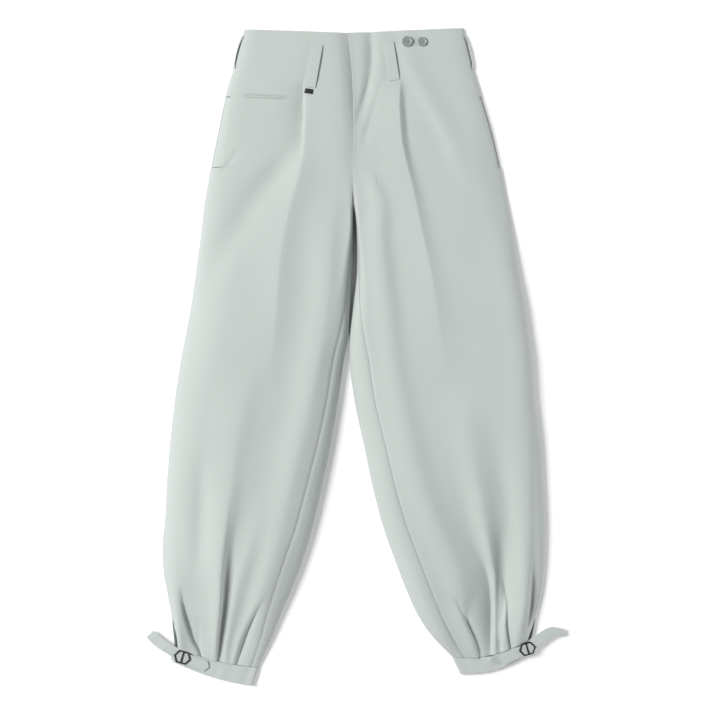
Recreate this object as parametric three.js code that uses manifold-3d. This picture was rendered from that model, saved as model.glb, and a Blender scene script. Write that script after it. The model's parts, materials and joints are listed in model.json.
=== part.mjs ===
// Knickerbocker work trousers in smooth pale twill, laid flat with the front up.
// Millimetres. x runs to the viewer's right, y towards the waist and z up from the table.
// Right and left are the wearer's: the right leg lies at -x. A drop is a distance below the waist's top line.
import * as THREE from 'three';
import { mergeVertices } from 'three/addons/utils/BufferGeometryUtils.js';
import Module from 'manifold-3d';

const wasm = await Module();
wasm.setup();

// Cloth and seams
const clothWall = 1.6;
const cuffWall = 2.2;
const trimWall = 1.2;
const seamGap = 0.35;
const backHeight = clothWall / 2;

// The longest rows of the panels' walls, down the legs and in the gathers above the cuffs
const panelStep = 38;
const gatherStep = 18;

// Cuffs
const cuffGap = 5;
const cuffLow = cuffWall / 2;
const cuffHigh = cuffWall + cuffGap + cuffWall / 2;
const cuffTop = cuffHigh + cuffWall / 2;
const cuffRoll = (cuffHigh - cuffLow) / 2;
const cuffSeamGap = 0.5;

// Belt loops, straps and buckles
const loopWidth = 17;
const loopBow = 2;
const labelWidth = 11.5;
const labelLength = 8;
const weltWidth = 6;
const strapWidth = 16;
const strapWall = 1.6;
const tabWidth = 13;
const tabReach = 14;
const buckleHalfLength = 13;
const buckleHalfWidth = 9.6;
const buckleShoulder = 7.2;
const buckleWire = 2;
const buckleThickness = 1.8;

// Buttons
const buttonThickness = 2.6;
const buttonHoleRadius = 0.9;
const buttonHoleSpacing = 2.6;

const twill = new THREE.MeshStandardMaterial({ color: 0xc9d0cb, roughness: 0.75, metalness: 0 });
const buttonResin = new THREE.MeshStandardMaterial({ color: 0x8f9b95, roughness: 0.45, metalness: 0 });
const buckleMetal = new THREE.MeshStandardMaterial({ color: 0x3b3e3c, roughness: 0.4, metalness: 0.9 });
const labelCloth = new THREE.MeshStandardMaterial({ color: 0x111214, roughness: 0.8, metalness: 0 });

// A table is a list of column names and a list of rows. It becomes one list of values for each column.
function table(names, rows) {
  const columns = {};
  names.forEach((name, k) => {
    columns[name] = rows.map((row) => row[k]);
  });
  columns.count = rows.length;
  return columns;
}

const sectionColumns = [
  'outerX', 'outerDrop', 'innerX', 'innerDrop', 'frontX', 'puff', 'rim', 'outerCurve', 'innerCurve', 'roll', 'wrap',
];
// outerX, innerX: the side edge and the inner edge of the leg. frontX: where the front ends, at the centre front or
// at the inseam, which has rolled onto the face. puff: how high the front stands. rim: the height of its side edge.
// The curves are the widths over which it rounds off. roll and wrap: how the back turns up at the inner edge.
const rightSections = table(sectionColumns, [
  [-161, 3, -0.3, 9, 1, 8, 1.95, 22, 10, 6, 0],
  [-172, 48, -0.3, 50, 6, 10, 1.95, 26, 10, 6, 0],
  [-187, 95, -0.3, 95, 9, 12, 1.95, 30, 10, 6, 0],
  [-199, 150, -0.3, 150, 10, 14, 1.95, 34, 10, 6, 0],
  [-210, 205, -0.3, 205, 9, 16, 1.95, 38, 10, 6, 0],
  [-220, 262, 1.6, 262, 1.4, 18, 1.95, 40, 10, 6, 0.2],
  [-225, 305, 2.2, 305, 1, 20, 1.95, 42, 10, 6, 1],
  [-233, 365, 1.6, 365, -2.5, 22, 1.95, 45, 13, 6, 1],
  [-240, 415, -3.3, 418, -9, 24, 1.95, 48, 22, 6, 1],
  [-248, 458, -6.8, 462, -19, 25, 1.95, 50, 32, 6, 1],
  [-256, 500, -13, 500, -28, 26, 1.95, 50, 42, 6, 1],
  [-265, 560, -22, 562, -38, 27, 1.95, 50, 50, 6, 1],
  [-271.5, 620, -33, 627, -52, 28, 1.95, 50, 52, 6, 1],
  [-276.5, 680, -46, 690, -68, 28, 1.95, 50, 52, 6, 1],
  [-279, 732, -59, 747, -83, 27, 1.95, 50, 52, 6, 1],
  [-283, 777, -73, 794, -99, 26, 1.95, 48, 50, 6, 1],
  [-281.5, 815, -86, 830, -111, 24, 2.2, 42, 46, 5.5, 1],
  [-274, 857, -106, 877, -126, 19, 3, 32, 36, 5, 1],
  [-268, 890, -122, 917, -137, 13, 4.5, 24, 26, 4.2, 1],
  [-265, 928, -141, 958, -151, 4.2, 6.5, 14, 14, cuffRoll, 1],
]);
const leftSections = table(sectionColumns, [
  [167, 1, 0.3, 9, -7, 8, 1.95, 22, 10, 6, 0],
  [175.5, 42, 0.3, 50, -2, 10, 1.95, 26, 10, 6, 0],
  [191, 95, 0.3, 95, 1, 12, 1.95, 30, 10, 6, 0],
  [207.5, 150, 0.3, 150, 2, 14, 1.95, 34, 10, 6, 0],
  [221, 205, 0.3, 205, 1, 16, 1.95, 38, 10, 6, 0],
  [232, 262, 3.8, 262, 4, 18, 1.95, 40, 10, 6, 0.2],
  [240, 305, 4.6, 305, 5.9, 20, 1.95, 42, 10, 6, 1],
  [250, 365, 4.2, 365, 7.8, 22, 1.95, 45, 13, 6, 1],
  [259.5, 415, -0.8, 418, 11, 24, 1.95, 48, 22, 6, 1],
  [265.5, 458, -4, 462, 18, 25, 1.95, 50, 32, 6, 1],
  [271, 500, -4, 500, 25, 26, 1.95, 50, 42, 6, 1],
  [275, 560, 5, 562, 34.5, 27, 1.95, 50, 50, 6, 1],
  [283, 620, 20, 632, 51, 28, 1.95, 50, 52, 6, 1],
  [286.5, 680, 32, 689, 64.5, 28, 1.95, 50, 52, 6, 1],
  [289, 732, 47, 746, 81, 27, 1.95, 50, 52, 6, 1],
  [289, 777, 63, 792, 98, 26, 1.95, 48, 50, 6, 1],
  [287, 815, 79, 834, 114, 24, 2.2, 42, 46, 5.5, 1],
  [283, 848, 97, 875, 131, 19, 3, 32, 36, 5, 1],
  [275, 882, 119, 909, 148, 13, 4.5, 24, 26, 4.2, 1],
  [268, 915, 151.5, 943, 168, 4.2, 6.5, 14, 14, cuffRoll, 1],
]);

const foldColumns = ['drop', 'x', 'rise', 'left', 'right'];
// A fold is a crest, or a trough where rise is negative, that follows x down the leg.
// left and right are the widths over which it dies away on either side.
const rightFolds = {
  pleat: table(foldColumns, [
    [88, -74, 0, 30, 5],
    [110, -74, 4, 34, 5],
    [158, -74, 7, 40, 5],
    [216, -79, 8, 45, 7],
    [282, -98, 8, 48, 14],
    [350, -106, 7, 45, 17],
    [430, -110, 5, 40, 18],
    [522, -121, 0, 40, 20],
  ]),
  knee: table(foldColumns, [
    [500, -150, 0, 35, 16],
    [560, -160, 4, 34, 14],
    [640, -178, 6, 30, 12],
    [725, -190, 8, 26, 10],
    [800, -196, 10, 22, 8],
    [860, -200, 10, 16, 6],
    [905, -205, 7, 12, 5],
    [946, -209, 0, 8, 4],
  ]),
  hip: table(foldColumns, [
    [170, -130, 0, 24, 24],
    [230, -155, -3, 24, 24],
    [290, -188, -3.5, 24, 24],
    [360, -214, 0, 20, 20],
  ]),
  inseam: table(foldColumns, [
    [240, -34, 0, 20, 20],
    [320, -50, 3, 22, 22],
    [430, -54, 4, 24, 22],
    [560, -83, 4, 24, 20],
    [680, -95, 5, 24, 18],
    [790, -112, 6, 20, 14],
    [860, -132, 4, 14, 10],
    [920, -150, 0, 10, 8],
  ]),
  calf: table(foldColumns, [
    [620, -225, 0, 14, 14],
    [700, -224, -4, 15, 15],
    [770, -226, -3, 14, 14],
    [820, -228, 0, 12, 12],
  ]),
  outerTuck: table(foldColumns, [
    [838, -256, 0, 6, 6],
    [864, -251, -4, 6, 7],
    [899, -244, -5, 5, 9],
    [930, -231, 0, 4, 6],
  ]),
  innerTuck: table(foldColumns, [
    [850, -132, 0, 6, 6],
    [885, -146, -4, 6, 7],
    [918, -162, -4, 5, 7],
    [944, -175, 0, 4, 5],
  ]),
};
const leftFolds = {
  pleat: table(foldColumns, [
    [84, 73, 0, 30, 5],
    [112, 71, 4, 34, 5],
    [185, 76, 7, 36, 6],
    [240, 96, 8, 36, 9],
    [300, 111, 7, 34, 13],
    [380, 128, 6, 32, 16],
    [450, 143, 4, 30, 18],
    [520, 164, 0, 30, 20],
  ]),
  fly: table(foldColumns, [
    [235, 36, 0, 16, 12],
    [300, 41, 5, 18, 12],
    [400, 47, 6, 20, 13],
    [500, 55, 6, 20, 14],
    [600, 75, 6, 22, 14],
    [700, 102, 7, 24, 14],
    [800, 136, 6, 22, 12],
    [860, 160, 0, 16, 10],
  ]),
  knee: table(foldColumns, [
    [600, 160, 0, 14, 12],
    [680, 172, 5, 14, 12],
    [760, 185, 8, 13, 11],
    [830, 201, 10, 11, 9],
    [885, 209, 8, 9, 7],
    [930, 213, 0, 7, 6],
  ]),
  side: table(foldColumns, [
    [390, 220, 0, 14, 20],
    [480, 237, 4, 14, 20],
    [600, 245, 6, 12, 20],
    [720, 247, 7, 12, 18],
    [800, 239, 8, 12, 14],
    [860, 239, 7, 10, 10],
    [912, 245, 0, 8, 8],
  ]),
  hip: table(foldColumns, [
    [42, 89, 0, 16, 16],
    [90, 114, -2.5, 18, 18],
    [150, 140, -3.5, 22, 22],
    [205, 178, -2.5, 22, 22],
    [250, 202, 0, 20, 20],
  ]),
  innerTuck: table(foldColumns, [
    [852, 152, 0, 6, 6],
    [880, 166, -4, 6, 7],
    [910, 180, -4, 5, 7],
    [934, 190, 0, 4, 5],
  ]),
  outerTuck: table(foldColumns, [
    [825, 222, 0, 5, 5],
    [862, 233, -5, 5, 5],
    [895, 233, -5, 5, 5],
    [922, 238, 0, 4, 4],
  ]),
};

// The seam above the cuff sags by cuffSag in its middle, and cuffEnd gives the cuff's lower corners.
// pocketInset is how far the pocket mouth lies from the side edge at its top and at its end.
const right = {
  name: 'right',
  toInside: 1,
  sections: rightSections,
  folds: rightFolds,
  lapSide: -1,
  cuffSag: 5,
  cuffEnd: { outerX: -268, outerDrop: 950, innerX: -149.4, innerDrop: 985.5 },
  pocketInset: [8, 18],
  ventTop: 845,
  ventInset: 4,
};
const left = {
  name: 'left',
  toInside: -1,
  sections: leftSections,
  folds: leftFolds,
  lapSide: 1,
  cuffSag: 11,
  cuffEnd: { outerX: 271, outerDrop: 933, innerX: 163, innerDrop: 968 },
  pocketInset: [4, 5],
  ventTop: 800,
  ventInset: 7,
};

// The fly: the left front laps over the right one, down to the crotch
const flyLift = 1.25;
const flyLiftWidth = 26;
const flyEndDrop = 268;
const crotchDrop = 300;
const centreFront = table(['drop', 'x'], [[0, -8], [50, -2], [95, 1], [200, 2], [240, 0], [262, 2.5], [300, 4]]);

// Side pockets: the front stops short of the side edge and the facing shows
const pocketTopDrop = 104;
const pocketEndDrop = 210;
const pocketCorner = 0.5;
const facingTuck = 10;
const facingDepth = clothWall / 2 + 0.5 + trimWall / 2;

// The gathers start at gatherDrop, and the seam above the cuffs sags from sagTopDrop on
const gatherDrop = 790;
const sagTopDrop = 770;
const cuffSeamDrop = 930;

// The loop at the centre back lies under the back, which lifts over it
const backLoop = { x: 0, top: 22, end: 88 };
const backLift = 2.3;
const backLiftMargin = 16;

function lerp(a, b, share) {
  return a + (b - a) * share;
}

function smoothstep(low, high, value) {
  const share = Math.min(1, Math.max(0, (value - low) / (high - low)));
  return share * share * (3 - 2 * share);
}

// A smooth curve through evenly spaced values
function smoothAt(values, place) {
  const last = values.length - 1;
  const k = Math.min(last - 1, Math.max(0, Math.floor(place)));
  const share = Math.min(1, Math.max(0, place - k));
  const before = values[Math.max(0, k - 1)];
  const after = values[Math.min(last, k + 2)];
  const slopeStart = (values[k + 1] - before) / 2;
  const slopeEnd = (after - values[k]) / 2;
  const s2 = share * share;
  const s3 = s2 * share;
  return (2 * s3 - 3 * s2 + 1) * values[k] + (s3 - 2 * s2 + share) * slopeStart
    + (3 * s2 - 2 * s3) * values[k + 1] + (s3 - s2) * slopeEnd;
}

// The place along a rising column at which it reaches a value
function placeOf(values, target) {
  let low = 0;
  let high = values.length - 1;
  for (let step = 0; step < 40; step += 1) {
    const middle = (low + high) / 2;
    if (smoothAt(values, middle) < target) low = middle;
    else high = middle;
  }
  return (low + high) / 2;
}

function centreFrontX(drop) {
  return smoothAt(centreFront.x, placeOf(centreFront.drop, drop));
}

function foldHeight(folds, x, drop) {
  let height = 0;
  for (const fold of Object.values(folds)) {
    const first = fold.drop[0];
    const last = fold.drop[fold.count - 1];
    if (drop <= first || drop >= last) continue;
    const place = placeOf(fold.drop, drop);
    const away = x - smoothAt(fold.x, place);
    const width = smoothAt(away < 0 ? fold.left : fold.right, place);
    height += smoothAt(fold.rise, place) * Math.exp(-((away / width) ** 2));
  }
  return height;
}

// How far a surface has rounded up at a distance from its edge: 0 at the edge and 1 past the curve
function rounding(distance, curve) {
  const rest = 1 - Math.min(1, Math.max(0, distance / curve));
  return Math.sqrt(1 - rest * rest);
}

// How far the back lifts over the loop that lies under it
function backRise(x, drop) {
  const middle = (backLoop.top + backLoop.end) / 2;
  const sideways = (Math.abs(x - backLoop.x) - loopWidth / 2) / backLiftMargin;
  const endways = (Math.abs(drop - middle) - (backLoop.end - backLoop.top) / 2) / backLiftMargin;
  return backLift * (1 - smoothstep(0.1, 1, sideways)) * (1 - smoothstep(0.1, 1, endways));
}

// All the sizes of one section of a leg
function sectionAt(leg, place) {
  const size = {};
  for (const name of sectionColumns) size[name] = smoothAt(leg.sections[name], place);
  size.wrap = Math.min(1, Math.max(0, size.wrap));
  size.span = size.innerX - size.outerX;
  size.width = Math.abs(size.span);
  size.sag = leg.cuffSag * smoothstep(sagTopDrop, cuffSeamDrop, size.outerDrop);
  return size;
}

// How far below the waist a section runs, at a share of the way across it
function dropAt(size, across) {
  const share = Math.min(1, Math.max(0, across));
  return lerp(size.outerDrop, size.innerDrop, across) + size.sag * Math.sin(Math.PI * share);
}

// A point of the leg's upper surface, at a share of the way from the side edge to the inner edge
function upperPoint(leg, place, across) {
  const size = sectionAt(leg, place);
  const x = size.outerX + size.span * across;
  const drop = dropAt(size, across);
  const outerRise = rounding(across * size.width, size.outerCurve);
  const innerRise = lerp(1, rounding((1 - across) * size.width, size.innerCurve), size.wrap);
  const base = lerp(size.rim, backHeight + size.roll, Math.min(1, Math.max(0, across)));
  let z = base + (size.puff + foldHeight(leg.folds, x, drop)) * outerRise * innerRise;
  const lapShare = 1 - smoothstep(flyEndDrop, crotchDrop, drop);
  const fromCentre = (x - centreFrontX(drop)) / flyLiftWidth;
  z += leg.lapSide * flyLift * lapShare * Math.exp(-fromCentre * fromCentre);
  return new THREE.Vector3(x, -drop, z);
}

// The direction in which the upper surface faces
function upperNormal(leg, place, across) {
  const placeStep = 0.02;
  const acrossStep = 0.002;
  const along = upperPoint(leg, place + placeStep, across).sub(upperPoint(leg, place - placeStep, across));
  const over = upperPoint(leg, place, across + acrossStep).sub(upperPoint(leg, place, across - acrossStep));
  const normal = new THREE.Vector3().crossVectors(along, over).normalize();
  return normal.z < 0 ? normal.negate() : normal;
}

// The section and the share across it at which a point of the front lies
function placeOnLeg(leg, x, drop) {
  let place = placeOf(leg.sections.outerDrop, drop);
  let across = 0;
  for (let step = 0; step < 8; step += 1) {
    const size = sectionAt(leg, place);
    across = (x - size.outerX) / size.span;
    place = placeOf(leg.sections.outerDrop, size.outerDrop + drop - dropAt(size, across));
  }
  return [place, across];
}

// A point above the front, moved out from it
function aboveFront(leg, x, drop, lift) {
  const [place, across] = placeOnLeg(leg, x, drop);
  return upperPoint(leg, place, across).addScaledVector(upperNormal(leg, place, across), lift);
}

// The distance between the side edge and the front's own edge: the pocket mouth and the vent
function frontInset(leg, drop) {
  if (drop > pocketTopDrop && drop < pocketEndDrop) {
    return lerp(leg.pocketInset[0], leg.pocketInset[1], (drop - pocketTopDrop) / (pocketEndDrop - pocketTopDrop));
  }
  return smoothstep(leg.ventTop, leg.ventTop + 50, drop) * leg.ventInset;
}

// The direction that each point of a grid faces, from its neighbours
function gridNormals(grid) {
  const alongRow = new THREE.Vector3();
  const alongColumn = new THREE.Vector3();
  return grid.map((row, r) => row.map((point, c) => {
    alongRow.subVectors(row[Math.min(row.length - 1, c + 1)], row[Math.max(0, c - 1)]);
    alongColumn.subVectors(grid[Math.min(grid.length - 1, r + 1)][c], grid[Math.max(0, r - 1)][c]);
    return new THREE.Vector3().crossVectors(alongRow, alongColumn).normalize();
  }));
}

// A closed wall of one thickness around a grid of points, grid[row][column], no part of it below the floor
function wall(grid, thickness, normals = gridNormals(grid), floor = 0) {
  const rows = grid.length;
  const columns = grid[0].length;
  const points = [];
  const layerSize = rows * columns;
  for (const side of [0.5, -0.5]) {
    for (let r = 0; r < rows; r += 1) {
      for (let c = 0; c < columns; c += 1) {
        const point = grid[r][c].clone().addScaledVector(normals[r][c], side * thickness);
        point.z = Math.max(point.z, floor);
        points.push(point);
      }
    }
  }
  const faces = [];
  const quad = (a, b, c, d) => faces.push(a, b, c, a, c, d);
  const at = (layer, r, c) => layer * layerSize + r * columns + c;
  for (let r = 0; r < rows - 1; r += 1) {
    for (let c = 0; c < columns - 1; c += 1) {
      quad(at(0, r, c), at(0, r, c + 1), at(0, r + 1, c + 1), at(0, r + 1, c));
      quad(at(1, r, c), at(1, r + 1, c), at(1, r + 1, c + 1), at(1, r, c + 1));
    }
  }
  for (let c = 0; c < columns - 1; c += 1) {
    quad(at(0, 0, c), at(1, 0, c), at(1, 0, c + 1), at(0, 0, c + 1));
    quad(at(0, rows - 1, c + 1), at(1, rows - 1, c + 1), at(1, rows - 1, c), at(0, rows - 1, c));
  }
  for (let r = 0; r < rows - 1; r += 1) {
    quad(at(0, r + 1, 0), at(1, r + 1, 0), at(1, r, 0), at(0, r, 0));
    quad(at(0, r, columns - 1), at(1, r, columns - 1), at(1, r + 1, columns - 1), at(0, r + 1, columns - 1));
  }
  const geometry = new THREE.BufferGeometry();
  geometry.setAttribute('position', new THREE.Float32BufferAttribute(points.flatMap((p) => [p.x, p.y, p.z]), 3));
  geometry.setIndex(volumeOf(points, faces) < 0 ? faces.reverse() : faces);
  geometry.computeVertexNormals();
  return geometry;
}

function volumeOf(points, faces) {
  let volume = 0;
  for (let k = 0; k < faces.length; k += 3) {
    const [a, b, c] = [points[faces[k]], points[faces[k + 1]], points[faces[k + 2]]];
    volume += a.dot(new THREE.Vector3().crossVectors(b, c)) / 6;
  }
  return volume;
}

function named(name, geometry, material) {
  const mesh = new THREE.Mesh(geometry, material);
  mesh.name = name;
  return mesh;
}

// The sections where a panel has its rows, at most a step apart and one at each stop
function panelPlaces(leg, stops) {
  const drops = leg.sections.outerDrop;
  const first = drops[0];
  const last = drops[drops.length - 1];
  const all = [first, ...stops, gatherDrop, last].sort((a, b) => a - b);
  const list = [];
  for (let k = 0; k < all.length - 1; k += 1) {
    const step = all[k] < gatherDrop ? panelStep : gatherStep;
    const count = Math.ceil((all[k + 1] - all[k]) / step);
    for (let n = 0; n < count; n += 1) list.push(lerp(all[k], all[k + 1], n / count));
  }
  list.push(last);
  return list.map((drop) => placeOf(drops, drop));
}

// The front: its columns stand close at both edges and along the crest that comes down from the pleat
function front(leg) {
  const edgeColumns = 9;
  const points = [];
  const normals = [];
  const mouthEnds = [pocketTopDrop, pocketEndDrop].flatMap((drop) => [drop - pocketCorner, drop + pocketCorner]);
  for (const place of panelPlaces(leg, [...mouthEnds, leg.folds.pleat.drop[0]])) {
    const size = sectionAt(leg, place);
    const start = frontInset(leg, size.outerDrop) / size.width;
    const end = (size.frontX - size.outerX) / size.span;
    const crest = (pleatX(leg, size.outerDrop) - size.outerX) / size.span;
    const valley = crest + 7 / size.width;
    const shares = [];
    for (let k = 0; k <= edgeColumns; k += 1) {
      shares.push(lerp(start, crest, 1 - Math.cos((k / edgeColumns) * Math.PI / 2) ** 1.2));
    }
    for (let k = 0; k <= edgeColumns; k += 1) {
      shares.push(lerp(valley, end, Math.sin((k / edgeColumns) * Math.PI / 2) ** 1.1));
    }
    points.push(shares.map((share) => upperPoint(leg, place, share)));
    normals.push(shares.map((share) => upperNormal(leg, place, share)));
  }
  return named(`front_${leg.name}`, wall(points, clothWall, normals, clothWall + seamGap), twill);
}

// The crest that runs from the pleat at the waist to the middle gather at the cuff
function pleatX(leg, drop) {
  const { pleat, knee } = leg.folds;
  const bound = (fold) => {
    const clamped = Math.min(fold.drop[fold.count - 1], Math.max(fold.drop[0], drop));
    return smoothAt(fold.x, placeOf(fold.drop, clamped));
  };
  return lerp(bound(pleat), bound(knee), smoothstep(470, 620, drop));
}

// The back lies flat and turns up at the inner edge to meet the front at the inseam
function back(leg) {
  const flatColumns = 6;
  const turnColumns = 3;
  const riseColumns = 4;
  const turnMargin = 8;
  const liftEnds = [backLoop.top, backLoop.end].flatMap((drop, k) => [drop, drop + (2 * k - 1) * backLiftMargin]);
  const places = panelPlaces(leg, [...liftEnds, pocketEndDrop + pocketCorner]);
  const ends = [];
  const grid = places.map((place) => {
    const size = sectionAt(leg, place);
    const turnShare = (size.roll + turnMargin) / size.width;
    const flatPoint = (share) => {
      const x = size.outerX + size.span * share;
      const drop = dropAt(size, share);
      return new THREE.Vector3(x, -drop, backHeight + backRise(x, drop));
    };
    const row = [];
    for (let k = 0; k <= flatColumns; k += 1) row.push(flatPoint(lerp(0, 1 - turnShare, k / flatColumns)));
    const turned = [];
    for (let k = 1; k <= turnColumns; k += 1) {
      const angle = (k / turnColumns) * Math.PI / 2;
      const point = flatPoint(1 - (size.roll * (1 - Math.sin(angle))) / size.width);
      point.z = backHeight + size.roll * (1 - Math.cos(angle));
      turned.push(point);
    }
    const end = (size.frontX - size.outerX) / size.span + seamGap / size.width;
    ends.push({ share: end, wrap: size.wrap });
    for (let k = 1; k <= riseColumns; k += 1) {
      turned.push(upperPoint(leg, place, lerp(1, end, (k / riseColumns) ** 2)));
    }
    turned.forEach((point, k) => {
      const share = 1 - turnShare * (1 - (k + 1) / turned.length);
      row.push(flatPoint(share).lerp(point, size.wrap));
    });
    return row;
  });
  const normals = gridNormals(grid);
  normals.forEach((row, r) => {
    const last = row[row.length - 1];
    const seam = upperNormal(leg, places[r], ends[r].share);
    if (seam.dot(last) < 0) seam.negate();
    last.lerp(seam, ends[r].wrap).normalize();
  });
  return named(`back_${leg.name}`, wall(grid, clothWall, normals), twill);
}

// The facing of a side pocket, from the side edge to a little way under the front
function pocketFacing(leg) {
  const rows = 5;
  const columns = 6;
  const fromEdge = 0.3;
  const endGap = pocketCorner + seamGap;
  const points = [];
  const normals = [];
  for (let r = 0; r <= rows; r += 1) {
    const drop = lerp(pocketTopDrop + endGap, pocketEndDrop - endGap, r / rows);
    const place = placeOf(leg.sections.outerDrop, drop);
    const size = sectionAt(leg, place);
    const width = frontInset(leg, drop) + facingTuck;
    const shares = [];
    for (let c = 0; c <= columns; c += 1) {
      shares.push(lerp(fromEdge, width, (c / columns) ** 1.5) / size.width);
    }
    const rowNormals = shares.map((share) => upperNormal(leg, place, share));
    points.push(shares.map((share, c) => (
      upperPoint(leg, place, share).addScaledVector(rowNormals[c], -facingDepth))));
    normals.push(rowNormals);
  }
  return named(`pocket_facing_${leg.name}`, wall(points, trimWall, normals, clothWall + seamGap), twill);
}

// A strip of cloth that lies on a front from one point to another. bow is how far its middle stands off.
function strip(name, leg, from, to, size, material) {
  const { width, wallThickness, rows, columns, bow } = size;
  const along = new THREE.Vector2(to.x - from.x, to.drop - from.drop);
  const sideways = new THREE.Vector2(-along.y, along.x).normalize().multiplyScalar(width * leg.toInside);
  const seat = clothWall / 2 + seamGap + wallThickness / 2;
  const grid = [];
  for (let r = 0; r <= rows; r += 1) {
    const lift = seat + bow * Math.sin(Math.PI * (r / rows)) ** 0.6;
    const row = [];
    for (let c = 0; c <= columns; c += 1) {
      const aside = c / columns - 0.5;
      const x = from.x + along.x * (r / rows) + sideways.x * aside;
      const drop = from.drop + along.y * (r / rows) + sideways.y * aside;
      row.push(aboveFront(leg, x, drop, lift));
    }
    grid.push(row);
  }
  return named(name, wall(grid, wallThickness), material);
}

// A belt loop on the front, sewn at both ends and standing off between them
function frontLoop(leg, from, to) {
  const size = { width: loopWidth, wallThickness: trimWall, rows: 8, columns: 3, bow: loopBow };
  return strip(`belt_loop_front_${leg.name}`, leg, from, to, size, twill);
}

// A belt loop at the side seam, which wraps round the side edge and stands off it
function sideLoop(leg) {
  const { top, end, onTop, bow, low } = { top: 14, end: 62, onTop: 9, bow: 3.2, low: 0.9 };
  const rows = 8;
  const columns = 5;
  const seat = clothWall / 2 + seamGap + trimWall / 2;
  const grid = [];
  for (let r = 0; r <= rows; r += 1) {
    const drop = lerp(top, end, r / rows);
    const place = placeOf(leg.sections.outerDrop, drop);
    const size = sectionAt(leg, place);
    const lift = seat + bow * Math.sin(Math.PI * (r / rows)) ** 0.6;
    const row = [];
    for (let c = 0; c < columns; c += 1) {
      const share = (onTop * (1 - c / (columns - 1)) ** 1.5) / size.width;
      row.push(upperPoint(leg, place, share).addScaledVector(upperNormal(leg, place, share), lift));
    }
    const foot = row[columns - 1].clone();
    foot.z = low;
    row.push(foot);
    grid.push(row);
  }
  return named(`belt_loop_side_${leg.name}`, wall(grid, trimWall), twill);
}

// The belt loop at the centre back, flat on the table under the back
function centreBackLoop() {
  const rows = 2;
  const columns = 2;
  const grid = [];
  for (let r = 0; r <= rows; r += 1) {
    const row = [];
    for (let c = 0; c <= columns; c += 1) {
      const x = backLoop.x + (c / columns - 0.5) * loopWidth;
      row.push(new THREE.Vector3(x, -lerp(backLoop.top, backLoop.end, r / rows), trimWall / 2));
    }
    grid.push(row);
  }
  return named('belt_loop_back', wall(grid, trimWall), twill);
}

// A cuff: one band that runs from the back's side edge round the inner edge to the front's side edge
function cuff(leg) {
  const rows = 3;
  const flatColumns = 7;
  const turnColumns = 4;
  const last = leg.sections.count - 1;
  const size = sectionAt(leg, last);
  const grid = [];
  for (let r = 0; r <= rows; r += 1) {
    const deep = lerp(cuffSeamGap / (leg.cuffEnd.outerDrop - size.outerDrop), 1, r / rows);
    const outerX = lerp(size.outerX, leg.cuffEnd.outerX, deep);
    const innerX = lerp(size.innerX, leg.cuffEnd.innerX, deep);
    const outerDrop = lerp(size.outerDrop, leg.cuffEnd.outerDrop, deep);
    const innerDrop = lerp(size.innerDrop, leg.cuffEnd.innerDrop, deep);
    const width = Math.abs(innerX - outerX);
    const bandPoint = (share, z) => new THREE.Vector3(
      lerp(outerX, innerX, share),
      -(lerp(outerDrop, innerDrop, share) + size.sag * Math.sin(Math.PI * share)),
      z,
    );
    const turnStart = 1 - cuffRoll / width;
    const row = [];
    for (let k = 0; k <= flatColumns; k += 1) row.push(bandPoint(turnStart * (k / flatColumns), cuffLow));
    for (let k = 1; k < turnColumns; k += 1) {
      const angle = (k / turnColumns) * Math.PI;
      const z = (cuffLow + cuffHigh) / 2 - cuffRoll * Math.cos(angle);
      row.push(bandPoint(turnStart + (cuffRoll * Math.sin(angle)) / width, z));
    }
    for (let k = flatColumns; k >= 0; k -= 1) row.push(bandPoint(turnStart * (k / flatColumns), cuffHigh));
    grid.push(row);
  }
  return named(`cuff_${leg.name}`, wall(grid, cuffWall), twill);
}

// The strap of a cuff: sewn on by its pointed end, under the buckle, and on past the side edge to its free end
function strap(leg, path) {
  const rows = 14;
  const height = cuffTop + seamGap + strapWall / 2;
  const overTab = trimWall + seamGap;
  const line = new THREE.CatmullRomCurve3(path.map((p) => new THREE.Vector3(p.x, -p.drop, height + p.rise * overTab)));
  const point = strapWidth / 2;
  const grid = [];
  for (let r = 0; r <= rows; r += 1) {
    const middle = line.getPointAt(r / rows);
    const ahead = line.getTangentAt(r / rows);
    const sideways = new THREE.Vector3(-ahead.y, ahead.x, 0).normalize();
    const fromStart = r === 0 ? point * 0.6 : 0;
    grid.push([-1, 0, 1].map((side) => middle.clone()
      .addScaledVector(sideways, side * (strapWidth / 2))
      .addScaledVector(ahead, Math.abs(side) * fromStart)));
  }
  return named(`cuff_strap_${leg.name}`, wall(grid, strapWall), twill);
}

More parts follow.
